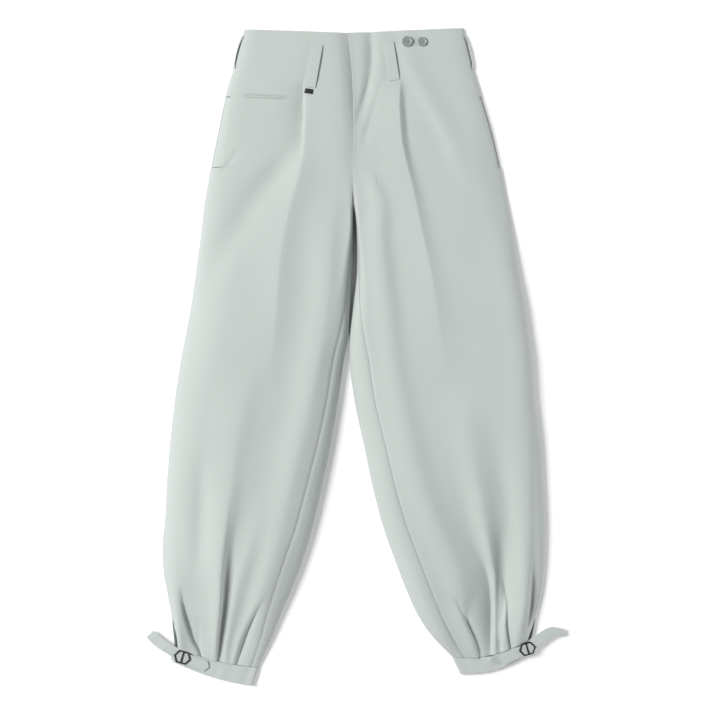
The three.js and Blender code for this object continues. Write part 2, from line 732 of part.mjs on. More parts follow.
// The tab that holds the buckle: from the cuff's back layer round its open end and on to the front layer
function buckleTab(leg, centre) {
  const rows = 2;
  const arcColumns = 6;
  const last = leg.sections.count - 1;
  const size = sectionAt(leg, last);
  const top = new THREE.Vector2(size.outerX, size.outerDrop);
  const low = new THREE.Vector2(leg.cuffEnd.outerX, leg.cuffEnd.outerDrop);
  const edge = low.clone().sub(top).normalize();
  const inward = new THREE.Vector2(edge.y, -edge.x).multiplyScalar(leg.toInside);
  if (inward.x * leg.toInside < 0) inward.negate();
  const middle = top.clone().addScaledVector(edge, new THREE.Vector2(centre.x, centre.drop).sub(top).dot(edge));
  const highZ = cuffTop + seamGap + trimWall / 2;
  const lowZ = cuffWall + seamGap + trimWall / 2;
  const arcHeight = (highZ - lowZ) / 2;
  const arcStart = 1.1;
  const arcReach = 2.2;
  const grid = [];
  for (let r = 0; r <= rows; r += 1) {
    const base = middle.clone().addScaledVector(edge, (r / rows - 0.5) * tabWidth);
    const place = (reach, z) => {
      const at = base.clone().addScaledVector(inward, reach);
      return new THREE.Vector3(at.x, -at.y, z);
    };
    const row = [place(tabReach, lowZ), place(tabReach / 2, lowZ)];
    for (let k = 0; k <= arcColumns; k += 1) {
      const angle = (k / arcColumns) * Math.PI;
      const z = (lowZ + highZ) / 2 - arcHeight * Math.cos(angle);
      row.push(place(-arcStart - arcReach * Math.sin(angle), z));
    }
    row.push(place(tabReach / 2, highZ), place(tabReach, highZ));
    grid.push(row);
  }
  return named(`buckle_tab_${leg.name}`, wall(grid, trimWall), twill);
}

// A flat plate with straight edges between its corners
function plate(corners, depth, lowest) {
  const shape = new THREE.Shape(corners.map(([x, y]) => new THREE.Vector2(x, y)));
  return new THREE.ExtrudeGeometry(shape, { depth, bevelEnabled: false }).translate(0, 0, lowest);
}

// The buckle: a six-sided frame with a bar across its middle
function buckle(leg, centre, turn) {
  const innerLength = buckleHalfLength - 1.25 * buckleWire;
  const innerWidth = buckleHalfWidth - buckleWire;
  const innerShoulder = buckleShoulder - 0.25 * buckleWire;
  const outline = [];
  for (const side of [-1, 1]) {
    outline.push([side * buckleHalfLength, 0]);
    outline.push([side * buckleShoulder, side * buckleHalfWidth]);
    outline.push([-side * buckleShoulder, side * buckleHalfWidth]);
  }
  let frame = solid(plate(outline, buckleThickness, 0));
  for (const side of [-1, 1]) {
    const slot = [
      [side * (buckleWire / 2), -innerWidth],
      [side * innerShoulder, -innerWidth],
      [side * innerLength, 0],
      [side * innerShoulder, innerWidth],
      [side * (buckleWire / 2), innerWidth],
    ];
    frame = frame.subtract(solid(plate(slot, 3 * buckleThickness, -buckleThickness)));
  }
  const mesh = named(`buckle_${leg.name}`, geometryOf(frame), buckleMetal);
  const seat = cuffTop + seamGap + trimWall + seamGap + strapWall + seamGap;
  mesh.position.set(centre.x, -centre.drop, seat);
  mesh.rotation.z = THREE.MathUtils.degToRad(turn);
  return mesh;
}

// A sewn button with four holes and a dished face
function button(name, leg, x, drop, radius) {
  const sides = 20;
  const rim = 0.7;
  const dish = 0.9;
  const profile = [
    new THREE.Vector2(0, 0),
    new THREE.Vector2(radius - rim, 0),
    new THREE.Vector2(radius, rim),
    new THREE.Vector2(radius, buttonThickness - rim),
    new THREE.Vector2(radius - rim, buttonThickness),
    new THREE.Vector2(radius - 2.4 * rim, buttonThickness - rim / 3),
    new THREE.Vector2(radius / 2, buttonThickness - dish),
    new THREE.Vector2(0, buttonThickness - dish),
  ];
  let body = solid(new THREE.LatheGeometry(profile, sides));
  for (const sideX of [-0.5, 0.5]) {
    for (const sideZ of [-0.5, 0.5]) {
      const hole = new THREE.CylinderGeometry(buttonHoleRadius, buttonHoleRadius, 3 * buttonThickness, 8);
      hole.translate(sideX * buttonHoleSpacing, 0, sideZ * buttonHoleSpacing);
      body = body.subtract(solid(hole));
    }
  }
  const mesh = named(name, geometryOf(body), buttonResin);
  const [place, across] = placeOnLeg(leg, x, drop);
  const normal = upperNormal(leg, place, across);
  mesh.quaternion.setFromUnitVectors(new THREE.Vector3(0, 1, 0), normal);
  mesh.position.copy(aboveFront(leg, x, drop, clothWall / 2 + seamGap));
  return mesh;
}

// A closed geometry as a solid for cutting
function solid(geometry) {
  geometry.deleteAttribute('normal');
  geometry.deleteAttribute('uv');
  const merged = mergeVertices(geometry, 1e-4);
  return new wasm.Manifold(new wasm.Mesh({
    numProp: 3,
    vertProperties: merged.attributes.position.array,
    triVerts: new Uint32Array(merged.index.array),
  }));
}

function geometryOf(body) {
  const mesh = body.getMesh();
  const geometry = new THREE.BufferGeometry();
  geometry.setAttribute('position', new THREE.BufferAttribute(new Float32Array(mesh.vertProperties), 3));
  geometry.setIndex(new THREE.BufferAttribute(new Uint32Array(mesh.triVerts), 1));
  geometry.computeVertexNormals();
  return geometry;
}

// Where the trim lies
const loopRight = { from: { x: -51.6, drop: 26 }, to: { x: -63, drop: 91 } };
const loopLeft = { from: { x: 54, drop: 23 }, to: { x: 63, drop: 81 } };
const labelStart = { x: -63.1, drop: 91.9 };
const labelEnd = { x: labelStart.x - labelLength * Math.sin(0.175), drop: labelStart.drop + labelLength };
const weltStart = { x: -160, drop: 102.8 };
const weltEnd = { x: -97.5, drop: 104.5 };
const buckleRight = { x: -253.8, drop: 942.3 };
const buckleLeft = { x: 262, drop: 929.7 };
const strapRight = [
  { x: -214, drop: 958, rise: 0 },
  { x: -232, drop: 951.5, rise: 0.3 },
  { x: -253.8, drop: 942.3, rise: 1 },
  { x: -270, drop: 932, rise: 1 },
  { x: -289.5, drop: 919.5, rise: -0.5 },
  { x: -302, drop: 907.5, rise: -2.5 },
];
const strapLeft = [
  { x: 222, drop: 949, rise: 0 },
  { x: 240, drop: 940.5, rise: 0.3 },
  { x: 262, drop: 929.7, rise: 1 },
  { x: 278, drop: 917.5, rise: 1 },
  { x: 295.5, drop: 906.5, rise: 0 },
  { x: 318, drop: 902.5, rise: -2.5 },
];

const labelSize = { width: labelWidth, wallThickness: trimWall, rows: 1, columns: 2, bow: 0 };
const weltSize = { width: weltWidth, wallThickness: trimWall, rows: 6, columns: 1, bow: 0 };

const trousers = new THREE.Group();
trousers.name = 'knickerbocker_trousers';
for (const leg of [right, left]) trousers.add(front(leg), back(leg), pocketFacing(leg), sideLoop(leg), cuff(leg));
trousers.add(
  frontLoop(right, loopRight.from, loopRight.to),
  frontLoop(left, loopLeft.from, loopLeft.to),
  centreBackLoop(),
  strip('label_tab', right, labelStart, labelEnd, labelSize, labelCloth),
  strip('coin_pocket_welt', right, weltStart, weltEnd, weltSize, twill),
  button('button_inner', left, 82.5, 22.5, 8),
  button('button_outer', left, 105, 22.5, 7),
  strap(right, strapRight),
  strap(left, strapLeft),
  buckleTab(right, buckleRight),
  buckleTab(left, buckleLeft),
  buckle(right, buckleRight, -16.5),
  buckle(left, buckleLeft, 16),
);

// The frame: the origin is under the middle of the garment, on the surface it lies on
const bounds = new THREE.Box3().setFromObject(trousers);
const middle = bounds.getCenter(new THREE.Vector3());
trousers.position.set(-middle.x, -middle.y, -bounds.min.z);

export default trousers;
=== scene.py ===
# %% [markdown]
# Knickerbocker work trousers, laid flat with the front up.
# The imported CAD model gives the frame: every piece below is made in metres, at the place its solid has.
# x runs to the viewer's right, y towards the waist and z up from the table. Right and left are the
# wearer's, so the right leg lies on the viewer's left.

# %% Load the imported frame
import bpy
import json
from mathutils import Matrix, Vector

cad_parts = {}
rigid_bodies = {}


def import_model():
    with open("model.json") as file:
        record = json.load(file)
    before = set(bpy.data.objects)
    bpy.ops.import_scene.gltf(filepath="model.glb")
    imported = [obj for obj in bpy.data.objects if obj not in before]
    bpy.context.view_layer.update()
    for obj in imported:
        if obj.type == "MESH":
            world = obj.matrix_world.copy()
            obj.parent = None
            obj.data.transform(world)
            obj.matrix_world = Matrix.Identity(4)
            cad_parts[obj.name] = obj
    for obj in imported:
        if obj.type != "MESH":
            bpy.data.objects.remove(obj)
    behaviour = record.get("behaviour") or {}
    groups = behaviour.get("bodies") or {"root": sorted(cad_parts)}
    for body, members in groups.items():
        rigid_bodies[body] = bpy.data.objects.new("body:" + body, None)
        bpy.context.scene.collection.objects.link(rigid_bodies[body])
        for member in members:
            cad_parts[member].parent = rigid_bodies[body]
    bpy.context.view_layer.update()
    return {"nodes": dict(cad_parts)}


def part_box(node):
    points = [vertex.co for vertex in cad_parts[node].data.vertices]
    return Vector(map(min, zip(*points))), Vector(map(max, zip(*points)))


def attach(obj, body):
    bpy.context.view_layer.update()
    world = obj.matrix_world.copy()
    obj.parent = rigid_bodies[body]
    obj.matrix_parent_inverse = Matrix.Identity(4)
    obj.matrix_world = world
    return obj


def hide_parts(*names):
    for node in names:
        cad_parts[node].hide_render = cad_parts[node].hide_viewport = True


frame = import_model()
print("CAD nodes:", len(frame["nodes"]))

# %% Tools
import json
import math

import bpy
import numpy as np
from mathutils import Vector

MM = 0.001

# %% [markdown]
# All sizes are in millimetres: x from the centre seam, and drop, the distance below the waist's top line.
# The loop at the centre back lies on the centre seam and its top is 22 mm below that line, so its box in
# the frame tells where both are, and nothing has to be fitted by eye.

# %% Find the centre seam and the waist in the frame
BACK_LOOP_TOP = 22
BACK_LOOP_END = 88
loop_low, loop_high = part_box("belt_loop_back")
origin = np.array([(loop_low.x + loop_high.x) / 2, loop_high.y + BACK_LOOP_TOP * MM, 0])
print("centre seam and waist line, mm:", np.round(origin / MM, 2))

# %% [markdown]
# Trousers are photographed flat from straight above. A long lens far away keeps both hems the same size as
# the waist.

# %% Camera
VIEW_WIDTH = 1.0695
CAMERA_PLACE = (0.00085, 0.00055, 4.0)
SENSOR = 36
bpy.ops.object.camera_add(location=CAMERA_PLACE, rotation=(0, 0, 0))
camera = bpy.context.active_object
camera.name = "camera"
camera.data.sensor_width = SENSOR
camera.data.lens = SENSOR * CAMERA_PLACE[2] / VIEW_WIDTH
camera.data.clip_end = 50
camera.data.dof.use_dof = False
bpy.context.scene.camera = camera
print("lens, mm:", round(camera.data.lens, 1))

# %% [markdown]
# A large window stands high to the upper left and far away, so its light is even over the whole length:
# slopes of the cloth that face left are bright, and those that face right are grey. A low reflector lights
# the steep right edges and leaves the gentle folds grey, and a white room fills the shadows.

# %% Light
LIGHT_SIZE = 2.6
WINDOW_PLACE = Vector((-4.3, 1.1, 5.2))
WINDOW_POWER = 466
REFLECTOR_PLACE = Vector((4.8, -0.2, 0.65))
REFLECTOR_POWER = 125
ROOM_STRENGTH = 0.20
WHITE = (1, 1, 1, 1)


def add_light(name, place, power):
    """A square light that faces the middle of the trousers."""
    bpy.ops.object.light_add(type="AREA", location=place)
    light = bpy.context.active_object
    light.name = name
    light.data.shape = "SQUARE"
    light.data.size = LIGHT_SIZE
    light.data.energy = power
    light.rotation_euler = (-place).to_track_quat("-Z", "Y").to_euler()


add_light("window", WINDOW_PLACE, WINDOW_POWER)
add_light("reflector", REFLECTOR_PLACE, REFLECTOR_POWER)
room = bpy.data.worlds.new("white_room")
room.use_nodes = True
background = room.node_tree.nodes["Background"]
background.inputs["Color"].default_value = WHITE
background.inputs["Strength"].default_value = ROOM_STRENGTH
bpy.context.scene.world = room
bpy.context.scene.view_settings.view_transform = "Standard"
print("window height over distance:", round(WINDOW_PLACE.z / WINDOW_PLACE.xy.length, 2))

# %% [markdown]
# Every finish is one Principled shader. Its colour drifts a little over the piece, by a noise on Object
# coordinates, because dye, resin and worn metal are never quite even, and its fine relief is a bump.

# %% Helpers for materials and their nodes
def set_inputs(node, inputs):
    for socket, value in inputs.items():
        node.inputs[socket.replace("_", " ")].default_value = value


def start_material(name, **inputs):
    material = bpy.data.materials.new(name)
    material.use_nodes = True
    shader = material.node_tree.nodes["Principled BSDF"]
    set_inputs(shader, inputs)
    return material, shader


def add_node(material, kind, **inputs):
    node = material.node_tree.nodes.new(kind)
    set_inputs(node, inputs)
    return node


def link(material, start, start_socket, end, end_socket):
    material.node_tree.links.new(start.outputs[start_socket], end.inputs[end_socket])


# %% A finish whose colour drifts
# The sockets of a Mix node that mixes colours
MIX_SHARE = 0
MIX_LOW = 6
MIX_HIGH = 7
MIX_RESULT = 2


def drift_colour(material, shader, colour, scale, amount, tint=(1, 1, 1)):
    """A slow change of colour over the piece, by noise on its Object coordinates."""
    place = add_node(material, "ShaderNodeTexCoord")
    noise = add_node(material, "ShaderNodeTexNoise", Scale=scale, Detail=3.0, Roughness=0.55)
    mix = add_node(material, "ShaderNodeMix")
    mix.data_type = "RGBA"
    mix.inputs[MIX_LOW].default_value = [c * (1 - amount) * t for c, t in zip(colour, tint)] + [1]
    mix.inputs[MIX_HIGH].default_value = [c * (1 + amount) for c in colour] + [1]
    link(material, place, "Object", noise, "Vector")
    link(material, noise, "Fac", mix, MIX_SHARE)
    link(material, mix, MIX_RESULT, shader, "Base Color")
    return place, noise


# %% A finish with relief
def add_bump(material, shader, texture, strength, distance, below=None):
    """A bump from a texture, joined to the shader. It lies over the bump below, if there is one."""
    bump = add_node(material, "ShaderNodeBump", Strength=strength, Distance=distance)
    link(material, texture, "Fac", bump, "Height")
    if below is not None:
        link(material, below, "Normal", bump, "Normal")
    link(material, bump, "Normal", shader, "Normal")
    return bump


def make_grained(name, colour, drift, bump, tint=(1, 1, 1), **inputs):
    """One noise gives both the drift (scale, amount) and the bump (strength, distance)."""
    material, shader = start_material(name, **inputs)
    _, noise = drift_colour(material, shader, colour, *drift, tint)
    add_bump(material, shader, noise, *bump)
    return material


# %% [markdown]
# The twill is a smooth, fine cotton blend in a pale grey-green. Its diagonal ribs are far finer than a
# pixel here, so they are a small bump on the piece's own UV map, which is laid out in metres. A slow, faint
# noise adds the unevenness that pressed cloth keeps.

# %% Twill
TWILL_COLOUR = (0.552, 0.594, 0.570)
TWILL_RIB = 0.0007
TWILL_TURN = math.radians(63)
# The wave texture's scale at which its bands are one metre apart
WAVE_PERIOD = math.pi / 10
twill, twill_shader = start_material(
    "twill", Roughness=0.82, Sheen_Weight=0.12, Sheen_Roughness=0.45, Specular_IOR_Level=0.3)
twill_place, _ = drift_colour(
    twill, twill_shader, TWILL_COLOUR, scale=6.0, amount=0.018, tint=(0.995, 1.0, 1.0))
turn = add_node(twill, "ShaderNodeMapping", Rotation=(0, 0, TWILL_TURN))
ribs = add_node(twill, "ShaderNodeTexWave", Scale=WAVE_PERIOD / TWILL_RIB, Distortion=0.6, Detail=1.0)
slow = add_node(twill, "ShaderNodeTexNoise", Scale=55.0, Detail=4.0, Roughness=0.6)
link(twill, twill_place, "UV", turn, "Vector")
link(twill, turn, "Vector", ribs, "Vector")
link(twill, twill_place, "Object", slow, "Vector")
rib_bump = add_bump(twill, twill_shader, ribs, strength=0.35, distance=0.00012)
add_bump(twill, twill_shader, slow, strength=0.5, distance=0.0003, below=rib_bump)
print("twill ribs, mm:", TWILL_RIB / MM)

# %% [markdown]
# The sewing thread is one tone lighter than the cloth and slightly glossy. It has no weave to show at this
# size, so it needs only a slow drift of colour and a fine grain for its twist. The buttons are cast resin
# in a grey-green close to the cloth, clouded like horn and polished. The buckles are dark, antiqued metal,
# worn unevenly, so their colour changes a lot over a few millimetres.

# %% Thread, resin and metal
THREAD_COLOUR = (0.560, 0.615, 0.585)
RESIN_COLOUR = (0.285, 0.34, 0.31)
METAL_COLOUR = (0.050, 0.053, 0.050)
thread = make_grained(
    "sewing_thread", THREAD_COLOUR, drift=(900.0, 0.05), bump=(0.4, 0.00005),
    Roughness=0.55, Sheen_Weight=0.1)
resin = make_grained(
    "button_resin", RESIN_COLOUR, drift=(320.0, 0.16), bump=(0.25, 0.00008), tint=(0.97, 1.0, 0.99),
    Roughness=0.34, Coat_Weight=0.25)
metal = make_grained(
    "buckle_metal", METAL_COLOUR, drift=(420.0, 0.55), bump=(0.3, 0.0001),
    Roughness=0.36, Metallic=1.0)
print("finishes:", thread.name, resin.name, metal.name)

# %% [markdown]
# The tab under the belt loop is plain black woven tape. Its ribs are a bump across its UV map, and it
# carries nothing.

# %% Label cloth
LABEL_COLOUR = (0.006, 0.006, 0.007)
LABEL_RIB = 0.0005
label_black, label_shader = start_material("label_cloth", Roughness=0.62, Sheen_Weight=0.08)
label_place, _ = drift_colour(label_black, label_shader, LABEL_COLOUR, scale=900.0, amount=0.25)
label_ribs = add_node(label_black, "ShaderNodeTexWave", Scale=WAVE_PERIOD / LABEL_RIB)
label_ribs.bands_direction = "Y"
link(label_black, label_place, "UV", label_ribs, "Vector")
add_bump(label_black, label_shader, label_ribs, strength=0.5, distance=0.0001)
print("label ribs, mm:", LABEL_RIB / MM)

# %% [markdown]
# The floor is a plain white sheet. It glows a little, as a lit studio table does, so the garment keeps a
# white ground and only a faint shadow. Below the crotch the legs lie so close together that no light
# reaches the table between them, so the glow leaves out a long narrow oval there. That oval is painted
# shade: the floor's material makes the table dark in the gap between the legs.

# %% Floor
FLOOR_SIZE = 12
FLOOR_BELOW = 0.0002
FLOOR_COLOUR = (0.86, 0.86, 0.86)
FLOOR_GLOW = 0.22
SHADE_OVAL_PLACE = (0.0, 0.125)
SHADE_OVAL_REACH = (0.022, 0.105)
SHADE_OVAL_FADE = 0.07
floor_white, floor_shader = start_material(
    "white_floor", Roughness=0.9, Emission_Color=WHITE, Specular_IOR_Level=0.1)
floor_place, _ = drift_colour(floor_white, floor_shader, FLOOR_COLOUR, scale=2.0, amount=0.004)
# Painted shade: inside a long narrow oval between the legs the floor's glow falls to nothing, so the table
# there looks shaded.
to_shade_oval = add_node(
    floor_white, "ShaderNodeMapping", Location=[-p / r for p, r in zip(SHADE_OVAL_PLACE, SHADE_OVAL_REACH)] + [0],
    Scale=[1 / r for r in SHADE_OVAL_REACH] + [0])
shade_oval_distance = add_node(floor_white, "ShaderNodeVectorMath")
shade_oval_distance.operation = "LENGTH"
glow = add_node(
    floor_white, "ShaderNodeMapRange", From_Min=1 - SHADE_OVAL_FADE, From_Max=1 + SHADE_OVAL_FADE, To_Max=FLOOR_GLOW)
link(floor_white, floor_place, "Object", to_shade_oval, "Vector")
link(floor_white, to_shade_oval, "Vector", shade_oval_distance, "Vector")
link(floor_white, shade_oval_distance, "Value", glow, "Value")
link(floor_white, glow, "Result", floor_shader, "Emission Strength")
bpy.ops.mesh.primitive_plane_add(size=FLOOR_SIZE, location=(0, 0, -FLOOR_BELOW))
floor = bpy.context.active_object
floor.name = "floor"
floor.data.materials.append(floor_white)
print("materials:", len(bpy.data.materials))

# %% [markdown]
# Each leg is cut from a few measured sections, from the waist down. A section gives the side edge and the
# inner edge, where the front ends, how high the front stands, and how its edges round off. A smooth curve
# through the sections gives every height between them, so that the cloth has no corners that the real one
# doesn't have. The solids have these sections too. Only the inner edges below the crotch, by up to 4 mm,
# and the curves of some outer edges are set closer to the real ones here.

# %% Sections of the legs
# puff is how high the front stands and rim the height of its side edge. The curves are the widths over
# which it rounds off. roll and wrap say how high and how far the back turns up at the inner edge.
SECTION_COLUMNS = (
    "outer_x", "outer_drop", "inner_x", "inner_drop", "front_x", "puff", "rim", "outer_curve",
    "inner_curve", "roll", "wrap",
)


def table(names, rows):
    return {name: np.array([row[k] for row in rows], float) for k, name in enumerate(names)}


right_sections = table(SECTION_COLUMNS, [
    (-161, 3, -0.3, 9, 1, 8, 1.95, 22, 10, 6, 0),
    (-172, 48, -0.3, 50, 6, 10, 1.95, 26, 10, 6, 0),
    (-187, 95, -0.3, 95, 9, 12, 1.95, 30, 10, 6, 0),
    (-199, 150, -0.3, 150, 10, 14, 1.95, 34, 10, 6, 0),
    (-210, 205, -0.3, 205, 9, 16, 1.95, 42, 10, 6, 0),
    (-220, 262, 1.6, 262, 1.4, 18, 1.95, 48, 7, 6, 0.2),
    (-225, 305, 2, 305, 1, 20, 1.95, 54, 6, 6, 1),
    (-233, 365, -1.6, 365, -4.5, 22, 1.95, 58, 13, 6, 1),
    (-240, 415, -3.8, 418, -10, 24, 1.95, 60, 22, 6, 1),
    (-248, 458, -6.2, 462, -19, 25, 1.95, 58, 32, 6, 1),
    (-256, 500, -13, 500, -28, 26, 1.95, 54, 42, 6, 1),
    (-265, 560, -22, 562, -38, 27, 1.95, 50, 50, 6, 1),
    (-271.5, 620, -33, 627, -52, 28, 1.95, 50, 52, 6, 1),
    (-276.5, 680, -46, 690, -68, 28, 1.95, 50, 52, 6, 1),
    (-279, 732, -59, 747, -83, 27, 1.95, 50, 52, 6, 1),
    (-283, 777, -73, 794, -99, 26, 1.95, 48, 50, 6, 1),
    (-281.5, 815, -86, 830, -111, 24, 2.2, 42, 46, 5.5, 1),
    (-274, 857, -106, 877, -126, 19, 3, 32, 36, 5, 1),
    (-268, 890, -122, 917, -137, 13, 4.5, 24, 26, 4.2, 1),
    (-265, 928, -141, 958, -151, 4.2, 6.5, 14, 14, 3.6, 1),
])
left_sections = table(SECTION_COLUMNS, [
    (167, 1, 0.3, 9, -7, 8, 1.95, 22, 10, 6, 0),
    (175.5, 42, 0.3, 50, -2, 10, 1.95, 26, 10, 6, 0),
    (191, 95, 0.3, 95, 1, 12, 1.95, 30, 10, 6, 0),
    (207.5, 150, 0.3, 150, 2, 14, 1.95, 34, 10, 6, 0),
    (221, 205, 0.3, 205, 1, 16, 1.95, 38, 10, 6, 0),
    (232, 262, 3.8, 262, 4, 18, 1.95, 40, 7, 6, 0.2),
    (240, 305, 6.3, 305, 7.4, 20, 1.95, 38, 6, 6, 1),
    (250, 365, 7.8, 365, 10.5, 22, 1.95, 36, 13, 6, 1),
    (259.5, 415, 2.4, 418, 12, 24, 1.95, 35, 22, 6, 1),
    (265.5, 458, -2.6, 462, 18, 25, 1.95, 35, 32, 6, 1),
    (271, 500, -2.8, 500, 25, 26, 1.95, 36, 42, 6, 1),
    (275, 560, 5, 562, 34.5, 27, 1.95, 40, 50, 6, 1),
    (283, 620, 20, 632, 51, 28, 1.95, 50, 52, 6, 1),
    (286.5, 680, 32, 689, 64.5, 28, 1.95, 50, 52, 6, 1),
    (289, 732, 47, 746, 81, 27, 1.95, 50, 52, 6, 1),
    (289, 777, 63, 792, 98, 26, 1.95, 48, 50, 6, 1),
    (287, 815, 79, 834, 114, 24, 2.2, 42, 46, 5.5, 1),
    (283, 848, 97, 875, 131, 19, 3, 32, 36, 5, 1),
    (275, 882, 119, 909, 148, 13, 4.5, 24, 26, 4.2, 1),
    (268, 915, 151.5, 943, 168, 4.2, 6.5, 14, 14, 3.6, 1),
])
print("sections a leg:", len(right_sections["outer_x"]))

# %% [markdown]
# Folds are placed one by one. Each follows a line down the leg and has a height and two widths, one on each
# side, so that it can rise softly and fall steeply as cloth does. A trough has a height below zero. A
# power under 2 gives a crease its sharp crest. On the real trousers two pleats start under the belt loops
# and open out over the thighs, and the cloth that the cuffs gather fans out into short folds, all uneven.

# %% Folds of the wearer's right leg
FOLD_COLUMNS = ("drop", "x", "rise", "left", "right")


def fold(power, rows):
    lines = table(FOLD_COLUMNS, rows)
    lines["power"] = power
    return lines


right_folds = {
    "pleat": fold(1.35, [
        (125, -73, 0, 18, 14), (165, -73, 4.5, 18, 18), (198, -74, 8, 20, 21), (228, -80, 10, 26, 24),
        (282, -95, 11.5, 38, 24), (350, -107, 11.5, 45, 24), (430, -113, 9, 42, 22),
        (535, -123, 0, 40, 20),
    ]),
    "pleat_top": fold(1.2, [
        (80, -72.5, 0, 20, 2), (100, -73, -6, 24, 2), (140, -74, -8, 26, 2), (172, -75, -6, 24, 2),
        (202, -77, 0, 22, 2),
    ]),
    "knee": fold(1.7, [
        (500, -150, 0, 36, 18), (560, -160, 4, 36, 18), (640, -176, 6, 34, 18), (725, -184, 9, 30, 12),
        (800, -191.5, 11, 25, 5), (860, -195.5, 11, 17, 3.4), (905, -199.5, 9, 12, 2.4),
        (960, -204, 2, 8, 2),
    ]),
    "knee_swell": fold(2, [
        (500, -142, 0, 40, 30), (560, -152, 2, 46, 36), (640, -171, 3.5, 52, 40), (725, -183, 6, 60, 44),
        (800, -191, 7.5, 60, 46), (860, -196, 7.5, 40, 40), (905, -200, 4.5, 20, 26), (950, -204, 0, 8, 14),
    ]),
    "knee_valley": fold(1.3, [
        (690, -177, 0, 5, 24), (750, -184, -3, 3.4, 32), (790, -188.5, -5.5, 2.6, 36),
        (830, -191.5, -8, 2, 36), (862, -193.5, -8, 1.8, 30), (905, -197.8, -7, 1.6, 17),
        (945, -201.5, -4, 1.6, 9), (965, -203.5, 0, 2, 5),
    ]),
    "outer_swell": fold(2, [
        (320, -186, 0, 48, 56), (400, -180, 5, 48, 56), (480, -182, 7, 48, 56), (580, -188, 6, 44, 50),
        (650, -200, 2, 40, 44), (700, -205, 0, 40, 40),
    ]),
    "edge_turn": fold(2, [
        (760, -276, 0, 5, 16), (815, -272, 4.5, 5, 18), (860, -268, 6.5, 5, 18), (900, -266, 5.5, 5, 15),
        (940, -262, 1, 5, 9),
    ]),
    "hip": fold(2, [
        (150, -72, 0, 20, 20), (185, -88, -3, 24, 24), (242, -133, -5.5, 26, 26),
        (282, -160, -5.5, 26, 26), (342, -195, -4.5, 26, 24), (400, -222, 0, 20, 20),
    ]),
    "pocket_fold": fold(1.6, [
        (178, -165, 0, 4, 6), (190, -174, -1.4, 4, 6), (205, -185, -2, 4, 6), (218, -195, -1, 3, 5),
        (226, -201, 0, 3, 4),
    ]),
    "inseam": fold(2, [
        (240, -26, 0, 20, 14), (320, -34, 5, 24, 15), (408, -40, 7.5, 25, 16), (498, -53, 7.5, 25, 16),
        (588, -70, 6.5, 24, 18), (680, -93, 6, 24, 18), (790, -117, 6.5, 20, 18), (860, -139, 5, 14, 16),
        (920, -152, 0, 10, 10),
    ]),
    "calf": fold(2, [
        (620, -225, 0, 14, 14), (700, -224, -4, 15, 15), (770, -226, -3, 14, 14), (820, -228, 0, 12, 12),
    ]),
    "outer_tuck": fold(1.4, [
        (832, -255, 0, 5, 8), (855, -252, -5, 4, 11), (875, -249, -8, 3, 13), (895, -244, -9, 2.6, 13),
        (917, -237, -7, 2.4, 12), (937, -227, -5, 2.2, 6), (960, -222, -1, 2, 5),
    ]),
    "outer_pocket": fold(1.5, [
        (880, -228, 0, 10, 3), (905, -228, -2.5, 10, 2.6), (925, -227.5, -3.5, 8, 2.2),
        (942, -226, 0, 6, 2),
    ]),
    "inner_tuck": fold(1.4, [
        (848, -128, 0, 5, 6), (880, -145, -4.5, 2.6, 7), (905, -156, -5.5, 2.4, 8),
        (930, -165, -5, 2.2, 8), (965, -176, -2, 2, 6),
    ]),
    "inner_ridge": fold(1.4, [
        (850, -139, 0, 8, 4), (888, -156, 2, 10, 3), (918, -168, 3, 9, 2.5), (945, -176, 2.5, 7, 2.5),
        (965, -181, 1, 6, 2.5),
    ]),
    "vent_fold": fold(1.6, [
        (835, -268, 0, 6, 6), (880, -262, 2.5, 5, 6), (925, -255, 2, 4, 6), (940, -252, 0, 4, 6),
    ]),
    "fly_dip": fold(1.5, [
        (-30, -4, -5, 13, 20), (30, 2, -7, 13, 20), (75, 6, -8, 12, 20), (110, 8, -7, 11, 20),
        (170, 9, -3, 10, 20), (230, 9, 0, 10, 20),
    ]),
    "mid_tuck": fold(1.9, [
        (690, -126, 0, 16, 18), (770, -150, 3, 13, 15), (828, -168, 4, 9, 12), (888, -181, 4, 7, 8),
        (925, -187, 3, 5, 5), (960, -190, 1, 4, 4),
    ]),
}

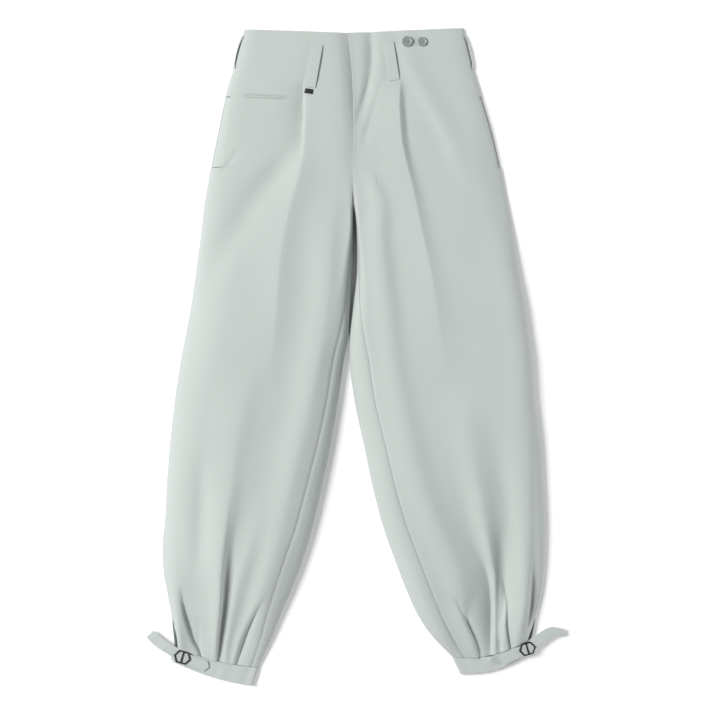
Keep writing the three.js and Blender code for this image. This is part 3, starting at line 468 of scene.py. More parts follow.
# %% Folds of the wearer's left leg
left_folds = {
    "pleat": fold(1.3, [
        (78, 72, 0, 30, 4), (100, 71, 7, 34, 4), (130, 71, 10, 34, 4), (180, 76, 10, 36, 5),
        (240, 90, 9, 34, 9), (300, 103, 9, 32, 12), (380, 120, 7.5, 34, 15), (468, 133, 5, 42, 24),
        (540, 150, 0, 40, 26),
    ]),
    "fly": fold(2, [
        (215, 26, 0, 12, 10), (243, 36, 4, 14, 11), (275, 42, 6, 16, 13), (318, 42, 6.5, 18, 13),
        (400, 50, 7.5, 20, 15), (500, 61, 7.5, 20, 17), (600, 80, 8.5, 22, 20), (700, 106, 11, 24, 22),
        (798, 148, 11, 24, 23), (840, 160, 9, 20, 17), (866, 164, 6, 16, 9), (888, 167, 5.5, 14, 4),
        (918, 180, 5.5, 12, 3.2), (945, 188, 2, 10, 3),
    ]),
    "fly_crease": fold(1.6, [
        (60, 30, 0, 4, 8), (90, 22, -1.8, 4, 9), (125, 12, -2.2, 4, 9), (150, 6, 0, 4, 8),
    ]),
    "fly_fan": fold(1.6, [
        (70, 48, 0, 5, 9), (110, 36, -1.6, 5, 10), (150, 24, -2, 5, 10), (190, 14, 0, 5, 8),
    ]),
    "shin": fold(2, [
        (600, 30, 0, 12, 12), (708, 56, 3, 16, 14), (798, 84, 4, 18, 16), (858, 110, 5, 16, 12),
        (918, 141, 4, 12, 9), (940, 150, 0, 10, 8),
    ]),
    "knee": fold(1.8, [
        (540, 168, 0, 24, 22), (618, 176, 7, 24, 23), (708, 192, 12, 19, 19), (780, 204, 12, 14, 10),
        (820, 212, 6, 6, 6), (858, 214, 3, 4, 4), (918, 214, 3, 4, 3.5), (945, 214, 1, 4, 3.5),
    ]),
    "side": fold(2, [
        (300, 222, 0, 20, 22), (378, 243, 3.5, 22, 20), (468, 256, 4.5, 22, 16), (600, 262, 4.5, 20, 14),
        (720, 262, 4.5, 18, 12), (790, 260, 6, 16, 10), (860, 258, 7, 12, 6), (912, 249, 4, 8, 8),
        (935, 246, 1, 8, 8),
    ]),
    "calf_hollow": fold(2, [
        (580, 200, 0, 60, 24), (640, 212, -5, 66, 26), (700, 222, -9, 72, 26), (777, 230, -12, 78, 24),
        (840, 231, -8, 70, 20), (885, 229, -3, 54, 17), (915, 227, 0, 46, 15),
    ]),
    "side_seam": fold(1.5, [
        (500, 266, 0, 3, 4), (560, 268, -0.8, 3, 5), (700, 271, -1, 3, 5), (790, 270.5, -2.5, 3.4, 8),
        (830, 269, -9, 3.4, 11), (865, 267.5, -11, 3.4, 10), (885, 265, -8, 3.6, 8), (905, 262, 0, 4, 6),
    ]),
    "hip": fold(2, [
        (150, 205, 0, 16, 16), (205, 214, -2, 18, 16), (270, 226, -2, 18, 14), (330, 236, 0, 16, 12),
    ]),
    "inner_tuck": fold(1.4, [
        (848, 152, 0, 4, 5), (866, 160, -4, 2.6, 6), (885, 169, -6, 2.4, 7), (910, 180, -6, 2.2, 7),
        (935, 189.5, -4, 2, 6), (955, 194, 0, 2, 5),
    ]),
    "valley": fold(1.6, [
        (740, 188, 0, 12, 8), (790, 198, -5, 18, 11), (850, 206.5, -10, 19, 12),
        (888, 207.5, -11, 17, 11), (918, 207, -9, 13, 9), (945, 206, -3, 8, 7),
    ]),
    "second_valley": fold(1.8, [
        (740, 222, 0, 10, 8), (790, 226, -4, 16, 10), (830, 227.5, -8, 18, 9), (860, 226.5, -9, 18, 6.5),
        (890, 224, -8, 17, 4), (925, 222.5, -6, 12, 4), (948, 221, 0, 5, 4),
    ]),
    "outer_tuck": fold(1.3, [
        (822, 225, 0, 3, 4), (858, 232.5, -6, 2.4, 5), (895, 232.5, -8, 2.2, 5), (925, 237, -6, 2.2, 5),
        (945, 242, -1, 2.5, 4),
    ]),
    "fly_side": fold(1.8, [
        (-30, 27, -3, 9, 9), (18, 28, -4.5, 9, 9), (48, 29, -5, 9, 9), (78, 25, -4.5, 8, 10),
        (110, 20, -3, 7, 10), (150, 14, 0, 7, 8),
    ]),
    "loop_side": fold(2, [
        (-20, 78, 1, 11, 14), (48, 85, 3, 12, 18), (108, 114, 5, 14, 21), (138, 132, 6, 14, 22),
        (168, 147, 6, 15, 22), (205, 163, 4, 16, 22), (250, 186, 0, 16, 20),
    ]),
    "small_ridge": fold(1.5, [
        (880, 226, 0, 4, 4), (905, 224, 2.5, 5, 3), (930, 226, 0, 4, 3),
    ]),
}
print("folds:", len(right_folds), "on the right leg,", len(left_folds), "on the left leg")

# %% Both legs
# cuff_sag is how far the seam above the cuff hangs in its middle, and cuff_end the cuff's lower corners.
# pocket_inset is how far the pocket mouth lies from the side edge at its top and at its end.
right = {
    "name": "right", "to_inside": 1, "sections": right_sections, "folds": right_folds, "lap_side": -1,
    "cuff_sag": 5, "cuff_end": {"outer": (-268, 950), "inner": (-149.4, 985.5)},
    "pocket_inset": (8, 18), "vent_top": 868, "vent_inset": 5,
}
left = {
    "name": "left", "to_inside": -1, "sections": left_sections, "folds": left_folds, "lap_side": 1,
    "cuff_sag": 11, "cuff_end": {"outer": (271, 933), "inner": (163, 968)},
    "pocket_inset": (4, 5), "vent_top": 872, "vent_inset": 5.5,
}

# %% [markdown]
# The surface of a leg is a function of two shares: a place along the sections and how far across it lies.
# With numpy the whole grid of a panel is worked out at once, and the direction that the cloth faces comes
# from the same function, by a small step each way.

# %% Sizes of the cloth and small helpers
WALL = 1.6
HALF_WALL = WALL / 2
SEAM_GAP = 0.35
FLY_LIFT = 1.25
FLY_LIFT_WIDTH = 26
FLY_END_DROP = 268
CROTCH_DROP = 300
SAG_TOP_DROP = 770
CUFF_SEAM_DROP = 930
FINE_STEPS = 60
SEARCH_ROUNDS = 8
STEP_ALONG = 0.02
STEP_ACROSS = 0.002
# The faint waves: height, the lengths across and down over which they turn, and where they start
WAVES = ((0.30, 17, 58, 0.0), (0.26, -43, 29, 1.0), (0.18, 11, -37, 2.2))
centre_front = table(("drop", "x"), [
    (0, -8), (50, -2), (95, 1), (200, 2), (240, 0), (262, 2.5), (300, 4),
])


def lerp(a, b, share):
    return a + (b - a) * share


def smoothstep(low, high, value):
    share = np.clip((value - low) / (high - low), 0, 1)
    return share * share * (3 - 2 * share)


def as_points(x, drop, z):
    return np.stack(np.broadcast_arrays(x, -drop, z), axis=-1)


def unit(vectors):
    return vectors / np.maximum(np.linalg.norm(vectors, axis=-1, keepdims=True), 1e-9)


def grid_facing(points):
    """The direction across each point of a grid, from its neighbours."""
    return np.cross(np.gradient(points, axis=1), np.gradient(points, axis=0))


print("the solids' wall and the gap at their seams, mm:", WALL, SEAM_GAP)


# %% Smooth curves through the tables
def smooth_at(values, place):
    """A smooth curve through evenly spaced values."""
    last = len(values) - 1
    k = np.clip(np.floor(place).astype(int), 0, last - 1)
    share = np.clip(place - k, 0, 1)
    here = values[k]
    there = values[k + 1]
    slope_start = (there - values[np.maximum(0, k - 1)]) / 2
    slope_end = (values[np.minimum(last, k + 2)] - here) / 2
    s2 = share * share
    s3 = s2 * share
    return (
        (2 * s3 - 3 * s2 + 1) * here + (s3 - 2 * s2 + share) * slope_start
        + (3 * s2 - 2 * s3) * there + (s3 - s2) * slope_end
    )


def place_of(values, target):
    """The place along a rising column at which it reaches a value."""
    places = np.linspace(0, len(values) - 1, FINE_STEPS * (len(values) - 1) + 1)
    return np.interp(target, smooth_at(values, places), places)


place = place_of(right_sections["outer_drop"], 300)
print("side edge of the right leg at 300 mm, mm:", np.round(smooth_at(right_sections["outer_x"], place), 1))


# %% Folds, rounded edges and faint waves
def fold_height(folds, x, drop):
    """The sum of all folds at a point of the leg."""
    height = np.zeros(np.broadcast(x, drop).shape)
    for line in folds.values():
        place = place_of(line["drop"], drop)
        away = x - smooth_at(line["x"], place)
        width = np.where(away < 0, smooth_at(line["left"], place), smooth_at(line["right"], place))
        rise = smooth_at(line["rise"], place)
        rise = np.where((drop > line["drop"][0]) & (drop < line["drop"][-1]), rise, 0)
        height += rise * np.exp(-((np.abs(away) / width) ** line["power"]))
    return height


def rounding(distance, curve):
    """How far a surface has rounded up at a distance from its edge: 0 at the edge, 1 past the curve."""
    rest = 1 - np.clip(distance / curve, 0, 1)
    return np.sqrt(1 - rest * rest)


def unevenness(x, drop):
    """The slow, faint waves that are left in pressed cloth, up to half a millimetre high."""
    return sum(height * np.sin(x / wide + drop / deep + start) for height, wide, deep, start in WAVES)


print("crest of the right knee, mm:", np.round(fold_height(right_folds, np.array(-195), np.array(860)), 1))


# %% The upper surface of a leg
def section_at(leg, place):
    """All the sizes of one section."""
    size = {name: smooth_at(leg["sections"][name], place) for name in SECTION_COLUMNS}
    size["wrap"] = np.clip(size["wrap"], 0, 1)
    size["span"] = size["inner_x"] - size["outer_x"]
    size["width"] = np.abs(size["span"])
    size["sag"] = leg["cuff_sag"] * smoothstep(SAG_TOP_DROP, CUFF_SEAM_DROP, size["outer_drop"])
    return size


def drop_at(size, across):
    share = np.clip(across, 0, 1)
    return lerp(size["outer_drop"], size["inner_drop"], across) + size["sag"] * np.sin(np.pi * share)


def upper_surface(leg, place, across):
    """Points (x, y, z) of the middle of the front's cloth, and of the back's where it has rolled up."""
    size = section_at(leg, place)
    x = size["outer_x"] + size["span"] * across
    drop = drop_at(size, across)
    inner_rise = rounding((1 - across) * size["width"], size["inner_curve"])
    rise = rounding(across * size["width"], size["outer_curve"]) * lerp(1, inner_rise, size["wrap"])
    base = lerp(size["rim"], HALF_WALL + size["roll"], np.clip(across, 0, 1))
    z = base + (size["puff"] + fold_height(leg["folds"], x, drop)) * rise
    z = z + unevenness(x, drop) * rise
    centre = smooth_at(centre_front["x"], place_of(centre_front["drop"], drop))
    lap = 1 - smoothstep(FLY_END_DROP, CROTCH_DROP, drop)
    z = z + leg["lap_side"] * FLY_LIFT * lap * np.exp(-(((x - centre) / FLY_LIFT_WIDTH) ** 2))
    return as_points(x, drop, z)


def upper_normals(leg, place, across):
    low, high = place - STEP_ALONG, place + STEP_ALONG
    along = upper_surface(leg, high, across) - upper_surface(leg, low, across)
    near, far = across - STEP_ACROSS, across + STEP_ACROSS
    over = upper_surface(leg, place, far) - upper_surface(leg, place, near)
    normals = unit(np.cross(along, over))
    return np.where(normals[..., 2:] < 0, -normals, normals)


print("height of the thigh, mm:", np.round(upper_surface(right, np.array(9.0), np.array(0.5))[2], 1))


# %% Find a place on a front
def at_drop(leg, drop):
    """The place along the sections at which the side edge has a drop, and the section there."""
    place = place_of(leg["sections"]["outer_drop"], drop)
    return place, section_at(leg, place)


def place_on_leg(leg, x, drop):
    """The place and the share across at which a point of the front lies, found in ever closer rounds."""
    x, drop = np.broadcast_arrays(np.asarray(x, float), np.asarray(drop, float))
    outer = leg["sections"]["outer_drop"]
    place = place_of(outer, drop)
    across = np.zeros(place.shape)
    for _ in range(SEARCH_ROUNDS):
        size = section_at(leg, place)
        across = (x - size["outer_x"]) / size["span"]
        place = place_of(outer, size["outer_drop"] + drop - drop_at(size, across))
    return place, across


def above_front(leg, x, drop, lift):
    """Points above the front's middle, moved out from it, and the direction it faces there."""
    place, across = place_on_leg(leg, x, drop)
    normals = upper_normals(leg, place, across)
    return upper_surface(leg, place, across) + normals * np.asarray(lift)[..., None], normals


print("place and share of a point of the right front:", np.round(place_on_leg(right, -100, 300), 2))

# %% [markdown]
# A cloth piece starts as a grid primitive, whose vertices are then placed by code and whose UV map is laid
# out in metres by the lengths along the cloth. Solidify gives it its thickness on the inner side, so the
# outer face stays where the solid has it. Faces point away from a point inside the piece.

# %% Helpers for one piece and its modifiers
def select_only(piece):
    bpy.ops.object.select_all(action="DESELECT")
    piece.select_set(True)
    bpy.context.view_layer.objects.active = piece


def apply_modifiers(piece):
    select_only(piece)
    for modifier in list(piece.modifiers):
        bpy.ops.object.modifier_apply(modifier=modifier.name)


def add_bevel(piece, width, segments, angle):
    """Rounds the edges that turn by more than an angle."""
    bevel = piece.modifiers.new("bevel", "BEVEL")
    bevel.width = width * MM
    bevel.segments = segments
    bevel.limit_method = "ANGLE"
    bevel.angle_limit = angle


# %% Make a cloth piece from a grid of points
SMOOTH_ANGLE = math.radians(55)
CORNER_ANGLE = math.radians(60)


def lay_out_uv(mesh, points, row, column):
    across = np.zeros(points.shape[:2])
    across[:, 1:] = np.cumsum(np.linalg.norm(np.diff(points, axis=1), axis=2), axis=1)
    across -= across[:, -1:] / 2
    along = np.zeros(points.shape[0])
    along[1:] = np.cumsum(np.linalg.norm(np.diff(points, axis=0), axis=2).mean(axis=1))
    flat = np.stack([across[row, column], along[row]], axis=1) * MM
    corner = np.zeros(len(mesh.loops), int)
    mesh.loops.foreach_get("vertex_index", corner)
    mesh.uv_layers.active.data.foreach_set("uv", flat[corner].ravel())


def cloth_piece(name, points, thickness, inside, material, edge_round):
    rows, columns = points.shape[:2]
    bpy.ops.object.select_all(action="DESELECT")
    bpy.ops.mesh.primitive_grid_add(x_subdivisions=columns - 1, y_subdivisions=rows - 1, size=2)
    piece = bpy.context.active_object
    piece.name = name
    mesh = piece.data
    mesh.name = name
    flat = np.zeros(len(mesh.vertices) * 3)
    mesh.vertices.foreach_get("co", flat)
    flat = flat.reshape(-1, 3)
    column = np.rint((flat[:, 0] + 1) / 2 * (columns - 1)).astype(int)
    row = np.rint((flat[:, 1] + 1) / 2 * (rows - 1)).astype(int)
    placed = points[row, column] * MM + origin
    mesh.vertices.foreach_set("co", placed.ravel())
    lay_out_uv(mesh, points, row, column)
    outward = np.sum(grid_facing(points) * (points - inside))
    bpy.ops.object.mode_set(mode="EDIT")
    bpy.ops.mesh.select_all(action="SELECT")
    if outward < 0:
        bpy.ops.mesh.flip_normals()
    bpy.ops.object.mode_set(mode="OBJECT")
    wall = piece.modifiers.new("thickness", "SOLIDIFY")
    wall.thickness = thickness * MM
    wall.offset = -1
    if edge_round:
        add_bevel(piece, edge_round, 2, CORNER_ANGLE)
    apply_modifiers(piece)
    bpy.ops.object.shade_smooth_by_angle(angle=SMOOTH_ANGLE)
    mesh.materials.append(material)
    return piece


# %% Say what a piece stands for
def settle(piece, slot, *nodes):
    """The piece moves with the trousers and stands for its CAD nodes, which are hidden. The slot is not
    used.
    """
    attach(piece, "root")
    if nodes:
        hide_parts(*nodes)
    print(piece.name, "faces:", len(piece.data.polygons))


# The way from a piece's middle to a point that its inner side faces
UNDER = np.array([0.0, 0.0, -200.0])
ABOVE = -UNDER
WITHIN = 0 * UNDER


def add_cloth(node, grid, thickness, inward, edge_round=0.0, material=twill, slot="twill"):
    """A cloth piece with its outer face on a grid of points, which stands for one CAD node."""
    inside = grid.reshape(-1, 3).mean(axis=0) + inward
    settle(cloth_piece("cloth_" + node, grid, thickness, inside, material, edge_round), slot, node)


# %% [markdown]
# Each leg has one front, from the waist to the cuff. Its grid is closest along the pleat's crest and the
# valley beside it, and at the side pocket the panel stops short of the side edge, so rows stand on both
# sides of each end of the pocket mouth. Along the inseam the cloth dips into the seam, and the edge of the
# fly stands a little proud of the front below it.

# %% Sizes of the fronts
POCKET_TOP_DROP = 104
POCKET_END_DROP = 210
POCKET_CORNER = 0.5
GATHER_DROP = 790
KNEE_DROPS = (470, 620)
VENT_LENGTH = 50
FRONT_CLOTH = 0.9
FRONT_STEPS = (3.6, 2.2)
SIDE_COLUMNS = 58
CREST_COLUMNS = 7
EDGE_CLOSENESS = 0.55
PLEAT_VALLEY = 7
SEAM_DIP = 1.1
SEAM_DIP_WIDTH = 2.6
FLY_EDGE = 1.3
FLY_EDGE_WIDTH = 4
FLY_EDGE_DROPS = (180, 260)
WAIST_ROLL = 1.0
WAIST_ROLL_WIDTH = 2.5
print("length of the side pockets, mm:", POCKET_END_DROP - POCKET_TOP_DROP)


# %% Rows and columns of a front
def front_inset(leg, drop):
    mouth = (drop > POCKET_TOP_DROP) & (drop < POCKET_END_DROP)
    share = (drop - POCKET_TOP_DROP) / (POCKET_END_DROP - POCKET_TOP_DROP)
    vent = smoothstep(leg["vent_top"], leg["vent_top"] + VENT_LENGTH, drop) * leg["vent_inset"]
    return np.where(mouth, lerp(leg["pocket_inset"][0], leg["pocket_inset"][1], share), vent)


def pleat_x(leg, drop):
    """The crest that comes down from the pleat and goes on as the fold of the knee."""
    lines = leg["folds"]
    places = [smooth_at(lines[n]["x"], place_of(lines[n]["drop"], drop)) for n in ("pleat", "knee")]
    return lerp(places[0], places[1], smoothstep(*KNEE_DROPS, drop))


def row_places(leg, stops, step, gather_step):
    """The places of a panel's rows: at most a step apart, closer in the gathers, and one at each stop."""
    outer = leg["sections"]["outer_drop"]
    ends = sorted([outer[0], GATHER_DROP, outer[-1], *stops])
    drops = [np.array([ends[0]])]
    for start, end in zip(ends, ends[1:]):
        longest = step if start < GATHER_DROP else gather_step
        drops.append(np.linspace(start, end, math.ceil((end - start) / longest) + 1)[1:])
    return place_of(outer, np.concatenate(drops))


def spread(count):
    """Shares from 0 to 1 that stand closer at both ends."""
    even = np.linspace(0, 1, count + 1)
    return lerp(even, (1 - np.cos(np.pi * even)) / 2, EDGE_CLOSENESS)


print("rows of the right front:", len(row_places(right, [], *FRONT_STEPS)))


# %% Fronts
def front_grid(leg):
    mouth_ends = [d + s * POCKET_CORNER for d in (POCKET_TOP_DROP, POCKET_END_DROP) for s in (-1, 1)]
    place = row_places(leg, mouth_ends, *FRONT_STEPS)[:, None]
    size = section_at(leg, place)
    start = front_inset(leg, size["outer_drop"]) / size["width"]
    end = (size["front_x"] - size["outer_x"]) / size["span"]
    crest = (pleat_x(leg, size["outer_drop"]) - size["outer_x"]) / size["span"]
    valley = crest + leg["to_inside"] * PLEAT_VALLEY / size["width"]
    first = np.minimum(crest, valley)
    second = np.maximum(crest, valley)
    across = np.concatenate([
        lerp(start, first, spread(SIDE_COLUMNS)),
        lerp(first, second, np.linspace(0, 1, CREST_COLUMNS + 1))[:, 1:],
        lerp(second, end, spread(SIDE_COLUMNS))[:, 1:],
    ], axis=1)
    points = upper_surface(leg, place, across)
    normals = upper_normals(leg, place, across)
    points = points + normals * HALF_WALL
    from_end = (end - across) * size["width"]
    dip = SEAM_DIP * size["wrap"] * np.exp(-((from_end / SEAM_DIP_WIDTH) ** 2))
    if leg["lap_side"] > 0:
        lap = 1 - smoothstep(*FLY_EDGE_DROPS, -points[..., 1])
        dip = dip - FLY_EDGE * lap * np.exp(-((from_end / FLY_EDGE_WIDTH) ** 2))
    points = points - normals * dip[..., None]
    from_top = size["outer_drop"] - leg["sections"]["outer_drop"][0]
    points[..., 2] -= WAIST_ROLL * np.exp(-((from_top / WAIST_ROLL_WIDTH) ** 2))
    points[..., 2] = np.maximum(points[..., 2], WALL + SEAM_GAP)
    return points


for leg in (right, left):
    add_cloth("front_" + leg["name"], front_grid(leg), FRONT_CLOTH, UNDER)

# %% [markdown]
# Each back lies flat on the table, turns up round the inner edge and meets the front along the inseam,
# which has rolled onto the face. Where it touches the table it stays flat, with a few long soft creases
# that lift off it, as pressed cloth has when it has been laid down once.

# %% Sizes and creases of the backs
LOOP_WIDTH = 17
BACK_LIFT = 2.3
BACK_LIFT_MARGIN = 16
BACK_FREE = 0.1
BACK_CLOTH = 1.4
BACK_STEPS = (6, 4)
FLAT_COLUMNS = 80
TURN_COLUMNS = 8
CLIMB_COLUMNS = 24
TURN_MARGIN = 8
CREASE_FADE = (4, 22)
VENT_LIP = 6.0
VENT_LIP_DROPS = (-10, 30)
VENT_LIP_EDGE = 0.3
VENT_LIP_SHARE = 0.62
back_creases = {
    "right": {
        "long": fold(2, [
            (120, -120, 0, 16, 22), (260, -128, 1.6, 18, 26), (430, -142, 2.1, 20, 24),
            (560, -158, 1.2, 16, 20), (640, -160, 0, 14, 18),
        ]),
        "knee": fold(2, [
            (560, -110, 0, 14, 14), (650, -124, 1.8, 16, 14), (760, -150, 2.2, 12, 16),
            (850, -176, 2.4, 9, 8), (935, -196, 2, 5, 6), (960, -199, 0, 4, 4),
        ]),
        "side": fold(2, [
            (700, -226, 0, 10, 12), (790, -229, 1.7, 10, 10), (870, -234, 2.4, 7, 6),
            (930, -238, 2, 5, 5), (945, -239, 0, 4, 4),
        ]),
        "seat": fold(2, [(130, -60, 0, 20, 14), (200, -52, 1.5, 18, 14), (270, -38, 0, 14, 12)]),
        "gather": fold(2, [
            (840, -160, 0, 6, 6), (900, -172, 2.2, 6, 5), (950, -180, 1.4, 4, 4), (965, -182, 0, 4, 4),
        ]),
    },
    "left": {
        "long": fold(2, [
            (150, 110, 0, 20, 16), (290, 128, 1.9, 24, 18), (440, 150, 1.7, 22, 20),
            (600, 168, 0, 16, 14),
        ]),
        "knee": fold(2, [
            (590, 120, 0, 14, 14), (690, 138, 2.1, 14, 16), (790, 170, 2.3, 14, 11),
            (870, 194, 2.4, 8, 7), (930, 206, 1.8, 5, 6), (950, 208, 0, 4, 4),
        ]),
        "side": fold(2, [
            (740, 240, 0, 12, 10), (820, 241, 2, 9, 9), (890, 244, 2.3, 6, 6), (925, 246, 1, 4, 4),
            (935, 247, 0, 4, 4),
        ]),
        "gather": fold(2, [(850, 160, 0, 6, 6), (905, 178, 2.3, 5, 6), (938, 186, 0, 4, 4)]),
    },
}
print("creases of the backs:", sum(len(creases) for creases in back_creases.values()))


# %% Backs
def back_rise(x, drop):
    """How far the back lifts over the loop that lies under it."""
    middle = (BACK_LOOP_TOP + BACK_LOOP_END) / 2
    sideways = (np.abs(x) - LOOP_WIDTH / 2) / BACK_LIFT_MARGIN
    endways = (np.abs(drop - middle) - (BACK_LOOP_END - BACK_LOOP_TOP) / 2) / BACK_LIFT_MARGIN
    return BACK_LIFT * (1 - smoothstep(BACK_FREE, 1, sideways)) * (1 - smoothstep(BACK_FREE, 1, endways))


def back_flat(leg, size, share):
    """Points of the part of the back that lies on the table, with its creases and the lip of the vent."""
    x = size["outer_x"] + size["span"] * share
    drop = drop_at(size, share)
    from_side = np.minimum(share, 1 - share) * size["width"]
    creases = fold_height(back_creases[leg["name"]], x, drop) * smoothstep(*CREASE_FADE, from_side)
    vent = smoothstep(*VENT_LIP_DROPS, size["outer_drop"] - leg["vent_top"])
    lip_end = leg["vent_inset"] * VENT_LIP_SHARE
    lip = VENT_LIP * vent * (1 - smoothstep(VENT_LIP_EDGE, lip_end, share * size["width"]))
    return as_points(x, drop, HALF_WALL + back_rise(x, drop) + creases + lip)


def back_grid(leg):
    lift_ends = [
        BACK_LOOP_TOP - BACK_LIFT_MARGIN, BACK_LOOP_TOP, BACK_LOOP_END, BACK_LOOP_END + BACK_LIFT_MARGIN,
    ]
    place = row_places(leg, lift_ends, *BACK_STEPS)[:, None]
    size = section_at(leg, place)
    turn_share = (size["roll"] + TURN_MARGIN) / size["width"]
    flat = back_flat(leg, size, lerp(0, 1 - turn_share, np.linspace(0, 1, FLAT_COLUMNS + 1) ** 1.5))
    angle = np.linspace(0, np.pi / 2, TURN_COLUMNS + 1)[1:]
    turn = back_flat(leg, size, 1 - size["roll"] * (1 - np.sin(angle)) / size["width"])
    turn[..., 2] = HALF_WALL + size["roll"] * (1 - np.cos(angle))
    end = (size["front_x"] - size["outer_x"]) / size["span"] + SEAM_GAP / size["width"]
    climb = np.linspace(0, 1, CLIMB_COLUMNS + 1)[1:] ** 2
    climb_share = lerp(1, end, climb)
    rise = upper_surface(leg, place, climb_share)
    turned = np.concatenate([turn, rise], axis=1)
    count = turned.shape[1]
    level = back_flat(leg, size, 1 - turn_share * (1 - np.arange(1, count + 1) / count))
    turned = lerp(level, turned, size["wrap"][..., None])
    middle = np.concatenate([flat, turned], axis=1)
    normals = unit(grid_facing(middle))
    if normals[len(normals) // 2, 5, 2] > 0:
        normals = -normals
    seam = upper_normals(leg, place, end)
    seam = np.where(np.sum(seam * normals[:, -1:], axis=-1, keepdims=True) < 0, -seam, seam)
    normals[:, -1:] = unit(lerp(normals[:, -1:], seam, size["wrap"][..., None]))
    points = middle + normals * HALF_WALL
    dip = SEAM_DIP * size["wrap"] * np.exp(-(((climb_share - end) * size["width"] / SEAM_DIP_WIDTH) ** 2))
    points[:, -len(climb):] -= normals[:, -len(climb):] * dip[..., None]
    points[..., 2] = np.maximum(points[..., 2], 0)
    return points


for leg in (right, left):
    add_cloth("back_" + leg["name"], back_grid(leg), BACK_CLOTH, ABOVE)

# %% [markdown]
# The side pockets are slanted openings between the front and the back. All that shows is the facing, a
# strip of the same twill a little below the front's edge.

# %% Pocket facings
TRIM_CLOTH = 1.0
FACING_TUCK = 10
FACING_EDGE = 0.3
FACING_DEPTH = HALF_WALL + 0.5


def facing_grid(leg):
    end_gap = POCKET_CORNER + SEAM_GAP
    drop = np.linspace(POCKET_TOP_DROP + end_gap, POCKET_END_DROP - end_gap, 40)[:, None]
    place, size = at_drop(leg, drop)
    width = front_inset(leg, drop) + FACING_TUCK
    across = lerp(FACING_EDGE, width, np.linspace(0, 1, 22) ** 1.5) / size["width"]
    points = upper_surface(leg, place, across) - upper_normals(leg, place, across) * FACING_DEPTH
    points[..., 2] = np.maximum(points[..., 2], WALL + SEAM_GAP)
    return points


for leg in (right, left):
    add_cloth("pocket_facing_" + leg["name"], facing_grid(leg), TRIM_CLOTH, UNDER)

# %% [markdown]
# A cuff is one doubled band round the hem, open at the side edge, where the strap closes it. The gathers
# above press into it, so its upper edge is slightly puckered and its face has a few soft dents.

# %% Cuffs
CUFF_WALL = 2.2
CUFF_GAP = 5
CUFF_LOW = CUFF_WALL / 2
CUFF_HIGH = CUFF_WALL + CUFF_GAP + CUFF_WALL / 2
CUFF_TOP = CUFF_HIGH + CUFF_WALL / 2
CUFF_ROLL = (CUFF_HIGH - CUFF_LOW) / 2
CUFF_SEAM_GAP = 0.5
CUFF_CLOTH = 1.9
CUFF_EDGE = 0.35
CUFF_ROWS = 17
CUFF_COLUMNS = 61
ARC_COLUMNS = 12
PUCKER = 0.25
PUCKER_TURN = 150
PUCKER_DEPTH = 0.16
# Dents: place across and down as shares, depth, and the shares over which they die away
cuff_dents = {
    "right": [
        (0.44, 0.2, 1.1, 0.035, 0.4), (0.52, 0.55, 0.9, 0.06, 0.5), (0.60, 0.75, -0.7, 0.03, 0.3),
        (0.70, 0.3, 0.6, 0.05, 0.4), (0.90, 0.5, 1.3, 0.045, 0.9), (0.20, 0.1, 0.8, 0.05, 0.3),
    ],
    "left": [
        (0.30, 0.3, 0.8, 0.05, 0.4), (0.53, 0.15, -4.2, 0.045, 0.4), (0.42, 0.8, 0.9, 0.05, 0.3),
        (0.58, 0.85, 0.8, 0.05, 0.3), (0.66, 0.1, 1.2, 0.04, 0.3), (0.86, 0.6, 0.7, 0.05, 0.9),
    ],
}


def cuff_grid(leg):
    size = section_at(leg, np.array(len(leg["sections"]["outer_x"]) - 1.0))
    outer_x, outer_drop = leg["cuff_end"]["outer"]
    inner_x, inner_drop = leg["cuff_end"]["inner"]
    first = CUFF_SEAM_GAP / (outer_drop - size["outer_drop"])
    deep = lerp(first, 1, np.linspace(0, 1, CUFF_ROWS))[:, None]
    start_x = lerp(size["outer_x"], outer_x, deep)
    end_x = lerp(size["inner_x"], inner_x, deep)
    start_drop = lerp(size["outer_drop"], outer_drop, deep)
    end_drop = lerp(size["inner_drop"], inner_drop, deep)
    turn_start = 1 - CUFF_ROLL / np.abs(end_x - start_x)
    angle = np.linspace(0, np.pi, ARC_COLUMNS + 2)[1:-1]
    flat = turn_start * np.linspace(0, 1, CUFF_COLUMNS)
    arc = turn_start + CUFF_ROLL * np.sin(angle) / np.abs(end_x - start_x)
    share = np.concatenate([flat, arc, flat[:, ::-1]], axis=1)
    arc_z = (CUFF_LOW + CUFF_HIGH) / 2 - CUFF_ROLL * np.cos(angle)
    z = np.concatenate([
        np.full(flat.shape, CUFF_LOW), np.broadcast_to(arc_z, arc.shape), np.full(flat.shape, CUFF_HIGH),
    ], axis=1)
    x = lerp(start_x, end_x, share)
    drop = lerp(start_drop, end_drop, share) + size["sag"] * np.sin(np.pi * share)
    middle = as_points(x, drop, z)
    normals = unit(grid_facing(middle))
    if normals[CUFF_ROWS // 2, 5, 2] > 0:
        normals = -normals
    points = middle + normals * (CUFF_WALL / 2)
    upper = np.arange(share.shape[1]) >= CUFF_COLUMNS + ARC_COLUMNS
    press = sum(
        depth * np.exp(-(((share - at) / width) ** 2) - ((deep - down) / height) ** 2)
        for at, down, depth, width, height in cuff_dents[leg["name"]]
    )
    pucker = PUCKER * (np.sin(share * PUCKER_TURN) - 1) * np.exp(-((deep / PUCKER_DEPTH) ** 2))
    points[..., 2] += np.where(upper, pucker - press, 0)
    points[..., 2] = np.maximum(points[..., 2], 0)
    return points


for leg in (right, left):
    add_cloth("cuff_" + leg["name"], cuff_grid(leg), CUFF_CLOTH, WITHIN, CUFF_EDGE)

# %% [markdown]
# Belt loops are narrow folded strips, sewn down at both ends and free between, so they stand off the cloth.
# The same strip, laid flat, makes the coin pocket's welt and the plain black tab below the loop.

